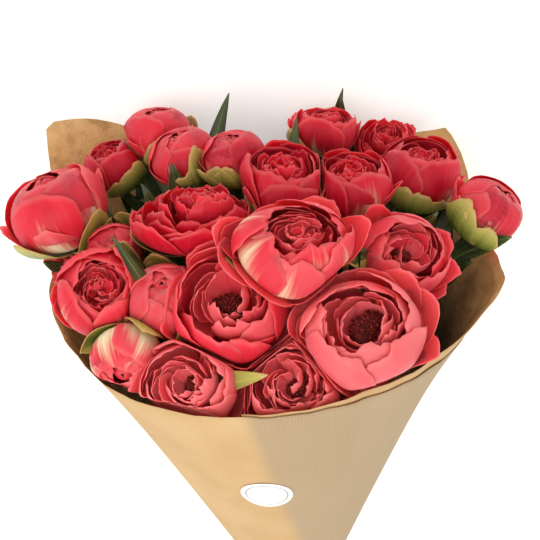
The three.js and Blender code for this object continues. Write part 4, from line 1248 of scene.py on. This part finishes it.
def kraft_inside():
    """The paper's inside: crumpled, and darkened deep down with painted shade, most of all at the back and
    the right.
    """
    name = "ribbed kraft paper, inside"
    material, tree, shader, across, along, ribs, fibre, body = kraft_base(name, "#DDB27C", "#C4965E")
    flat = node(tree, "CombineXYZ", {0: across, 1: along})
    down = node(tree, "VectorMath", {0: flat}, "Value", operation="LENGTH")
    crumple = {"Vector": flat, "Scale": 1 / CRUMPLE_SIZE, "Detail": 4, "Roughness": 0.6}
    crumple = node(tree, "TexNoise", crumple)
    share = {"Value": crumple, "From Min": 0.45, "From Max": 0.7, "To Max": 0.45}
    share = node(tree, "MapRange", share, **SOFT)
    body = node(tree, "Mix", {SHARE: share, UNDER: body, OVER: colour("#98683A")}, MIXED, **RGBA)
    # Painted shade: the inside turns dark brown deep in the cone, where the blooms and stems shade it, and
    # less so on the left.
    deep = {"Value": down, "From Min": 405.0, "From Max": 335.0, "To Max": 0.9}
    deep = node(tree, "MapRange", deep, **SOFT)
    side = {"Value": across, "From Min": -260.0, "From Max": -310.0, "To Min": 0.1}
    side = node(tree, "MapRange", side, **SOFT)
    deep = node(tree, "Math", {0: deep, 1: side}, operation="MULTIPLY")
    body = node(tree, "Mix", {SHARE: deep, UNDER: body, OVER: colour("#1E120A")}, MIXED, **RGBA)
    tree.links.new(body, shader.inputs["Base Color"])
    height = node(tree, "Math", {0: ribs, 1: 0.1}, operation="MULTIPLY")
    height = node(tree, "Math", {0: crumple, 1: 4.0, 2: height}, operation="MULTIPLY_ADD")
    bump = node(tree, "Bump", {"Height": height, "Distance": METRE, "Strength": 1.0})
    tree.links.new(bump, shader.inputs["Normal"])
    return material


# Drawn coarser than real jute fibres, so that it shows.
JUTE_FIBRE = 1.111


def jute_material():
    """Twisted jute, dull and hairy: straw brown with darker fibres."""
    material, tree, shader, _ = start_material("twisted jute twine", 0.9, 0.15)
    place = node(tree, "TexCoord", {}, "Object")
    fibre = node(tree, "TexNoise", {"Vector": place, "Scale": 1 / (JUTE_FIBRE * METRE), "Detail": 4})
    share = node(tree, "MapRange", {"Value": fibre, "From Min": 0.35, "From Max": 0.7}, **SOFT)
    inputs = {SHARE: share, UNDER: colour("#8A6636"), OVER: colour("#CDA56A")}
    body = node(tree, "Mix", inputs, MIXED, **RGBA)
    tree.links.new(body, shader.inputs["Base Color"])
    bump = node(tree, "Bump", {"Height": fibre, "Distance": 0.3 * METRE, "Strength": 1.0})
    tree.links.new(bump, shader.inputs["Normal"])
    return material


def label_material():
    """Smooth coated paper, a little glossy: white with one thin printed ring."""
    material, tree, shader, (across, along, _) = start_material("plain white label paper", 0.5, 0.4)
    flat = node(tree, "CombineXYZ", {0: across, 1: along})
    radius = node(tree, "VectorMath", {0: flat}, "Value", operation="LENGTH")
    off = node(tree, "Math", {0: radius, 1: 0.8 * LABEL_RADIUS}, operation="SUBTRACT")
    off = node(tree, "Math", {0: off}, operation="ABSOLUTE")
    share = node(tree, "MapRange", {"Value": off, "From Min": 0.8, "From Max": 0.5, "To Max": 0.9}, **SOFT)
    inputs = {SHARE: share, UNDER: colour("#FFFFFF"), OVER: colour("#8E8880")}
    body = node(tree, "Mix", inputs, MIXED, **RGBA)
    tree.links.new(body, shader.inputs["Base Color"])
    return material


PETAL_BACK = petal_material("coral petal, outside", "#C00C28", "#E02A3C", "#EE6A6E", "#F69490", 1.0)
PETAL_FACE = petal_material("coral petal, inside", "#CC102C", "#E82C42", "#F2646A", "#F99894", 0.6)
STEM_SKIN = stem_material()
SEPAL_SKIN = sepal_material()
LEAF_SKIN = leaf_material()
ANTHER_SKIN = anther_material()
KRAFT_OUTSIDE = kraft_outside()
KRAFT_INSIDE = kraft_inside()
JUTE_SKIN = jute_material()
LABEL_SKIN = label_material()


# Floor, light and camera


FLOOR_HALF = 3.0


def placed(axes, point):
    """The matrix of an object whose own axes and place are given."""
    return Matrix([[*row, t] for row, t in zip(np.array(axes).T, point)] + [[0, 0, 0, 1]])


def add_floor():
    mesh = bpy.data.meshes.new("floor")
    corners = [(-1, -1), (1, -1), (1, 1), (-1, 1)]
    mesh.from_pydata([(FLOOR_HALF * x, FLOOR_HALF * y, 0) for x, y in corners], [], [(0, 1, 2, 3)])
    floor = bpy.data.objects.new("floor", mesh)
    bpy.context.scene.collection.objects.link(floor)
    material = bpy.data.materials.new("plain pale floor")
    material.use_nodes = True
    shader = next(n for n in material.node_tree.nodes if n.type == "BSDF_PRINCIPLED")
    shader.inputs["Base Color"].default_value = colour("#F7F6F4")
    shader.inputs["Roughness"].default_value = 0.9
    shader.inputs["Emission Color"].default_value = (1, 1, 1, 1)
    shader.inputs["Emission Strength"].default_value = 0.25
    mesh.materials.append(material)


def add_lamp(name, way, distance, size, power, tint):
    """A square lamp that faces the blooms from a direction."""
    data = bpy.data.lights.new(name, "AREA")
    data.size = size
    data.energy = power
    data.color = tint
    lamp = bpy.data.objects.new(name, data)
    bpy.context.scene.collection.objects.link(lamp)
    z = unit(np.array(way))
    x = unit(np.cross([0.0, 1.0, 0.01], z))
    y = np.cross(z, x)
    lamp.matrix_world = placed([x, y, z], in_part(0, 0, 250) * METRE + distance * z)


def add_camera():
    data = bpy.data.cameras.new("camera")
    data.sensor_width = SENSOR
    data.lens = SENSOR * EYE_DISTANCE / MM_PER_PIXEL / PICTURE_SIZE
    camera = bpy.data.objects.new("camera", data)
    bpy.context.scene.collection.objects.link(camera)
    camera.matrix_world = placed([PICTURE_RIGHT, PICTURE_UP, TO_EYE], EYE * METRE)
    bpy.context.scene.camera = camera


def add_world():
    world = bpy.data.worlds.new("soft studio")
    world.use_nodes = True
    world.node_tree.nodes["Background"].inputs["Color"].default_value = (1, 0.98, 0.95, 1)
    world.node_tree.nodes["Background"].inputs["Strength"].default_value = 1.0
    bpy.context.scene.world = world
    bpy.context.scene.view_settings.view_transform = "Standard"


add_floor()
add_camera()
add_world()
add_lamp("key", (-0.35, -0.08, 1.0), 1.6, 1.1, 12.5, (1, 0.97, 0.92))
add_lamp("fill", (0.7, -0.5, 0.9), 1.8, 1.4, 3, (0.92, 0.96, 1))

BUNCH = [Bloom(number, row) for number, row in enumerate(BLOOMS, 1)]
push_apart(BUNCH)
for bloom in BUNCH:
    bloom.settle()
for bloom in BUNCH:
    find_planes(bloom, BUNCH)
for bloom, place in zip(BUNCH, bundled(BUNCH)):
    head_piece(bloom)
    green_piece(bloom, place)
    if bloom.number in TUFTS:
        stamens_piece(bloom)
wrap_piece()
twine_piece()
label_piece()
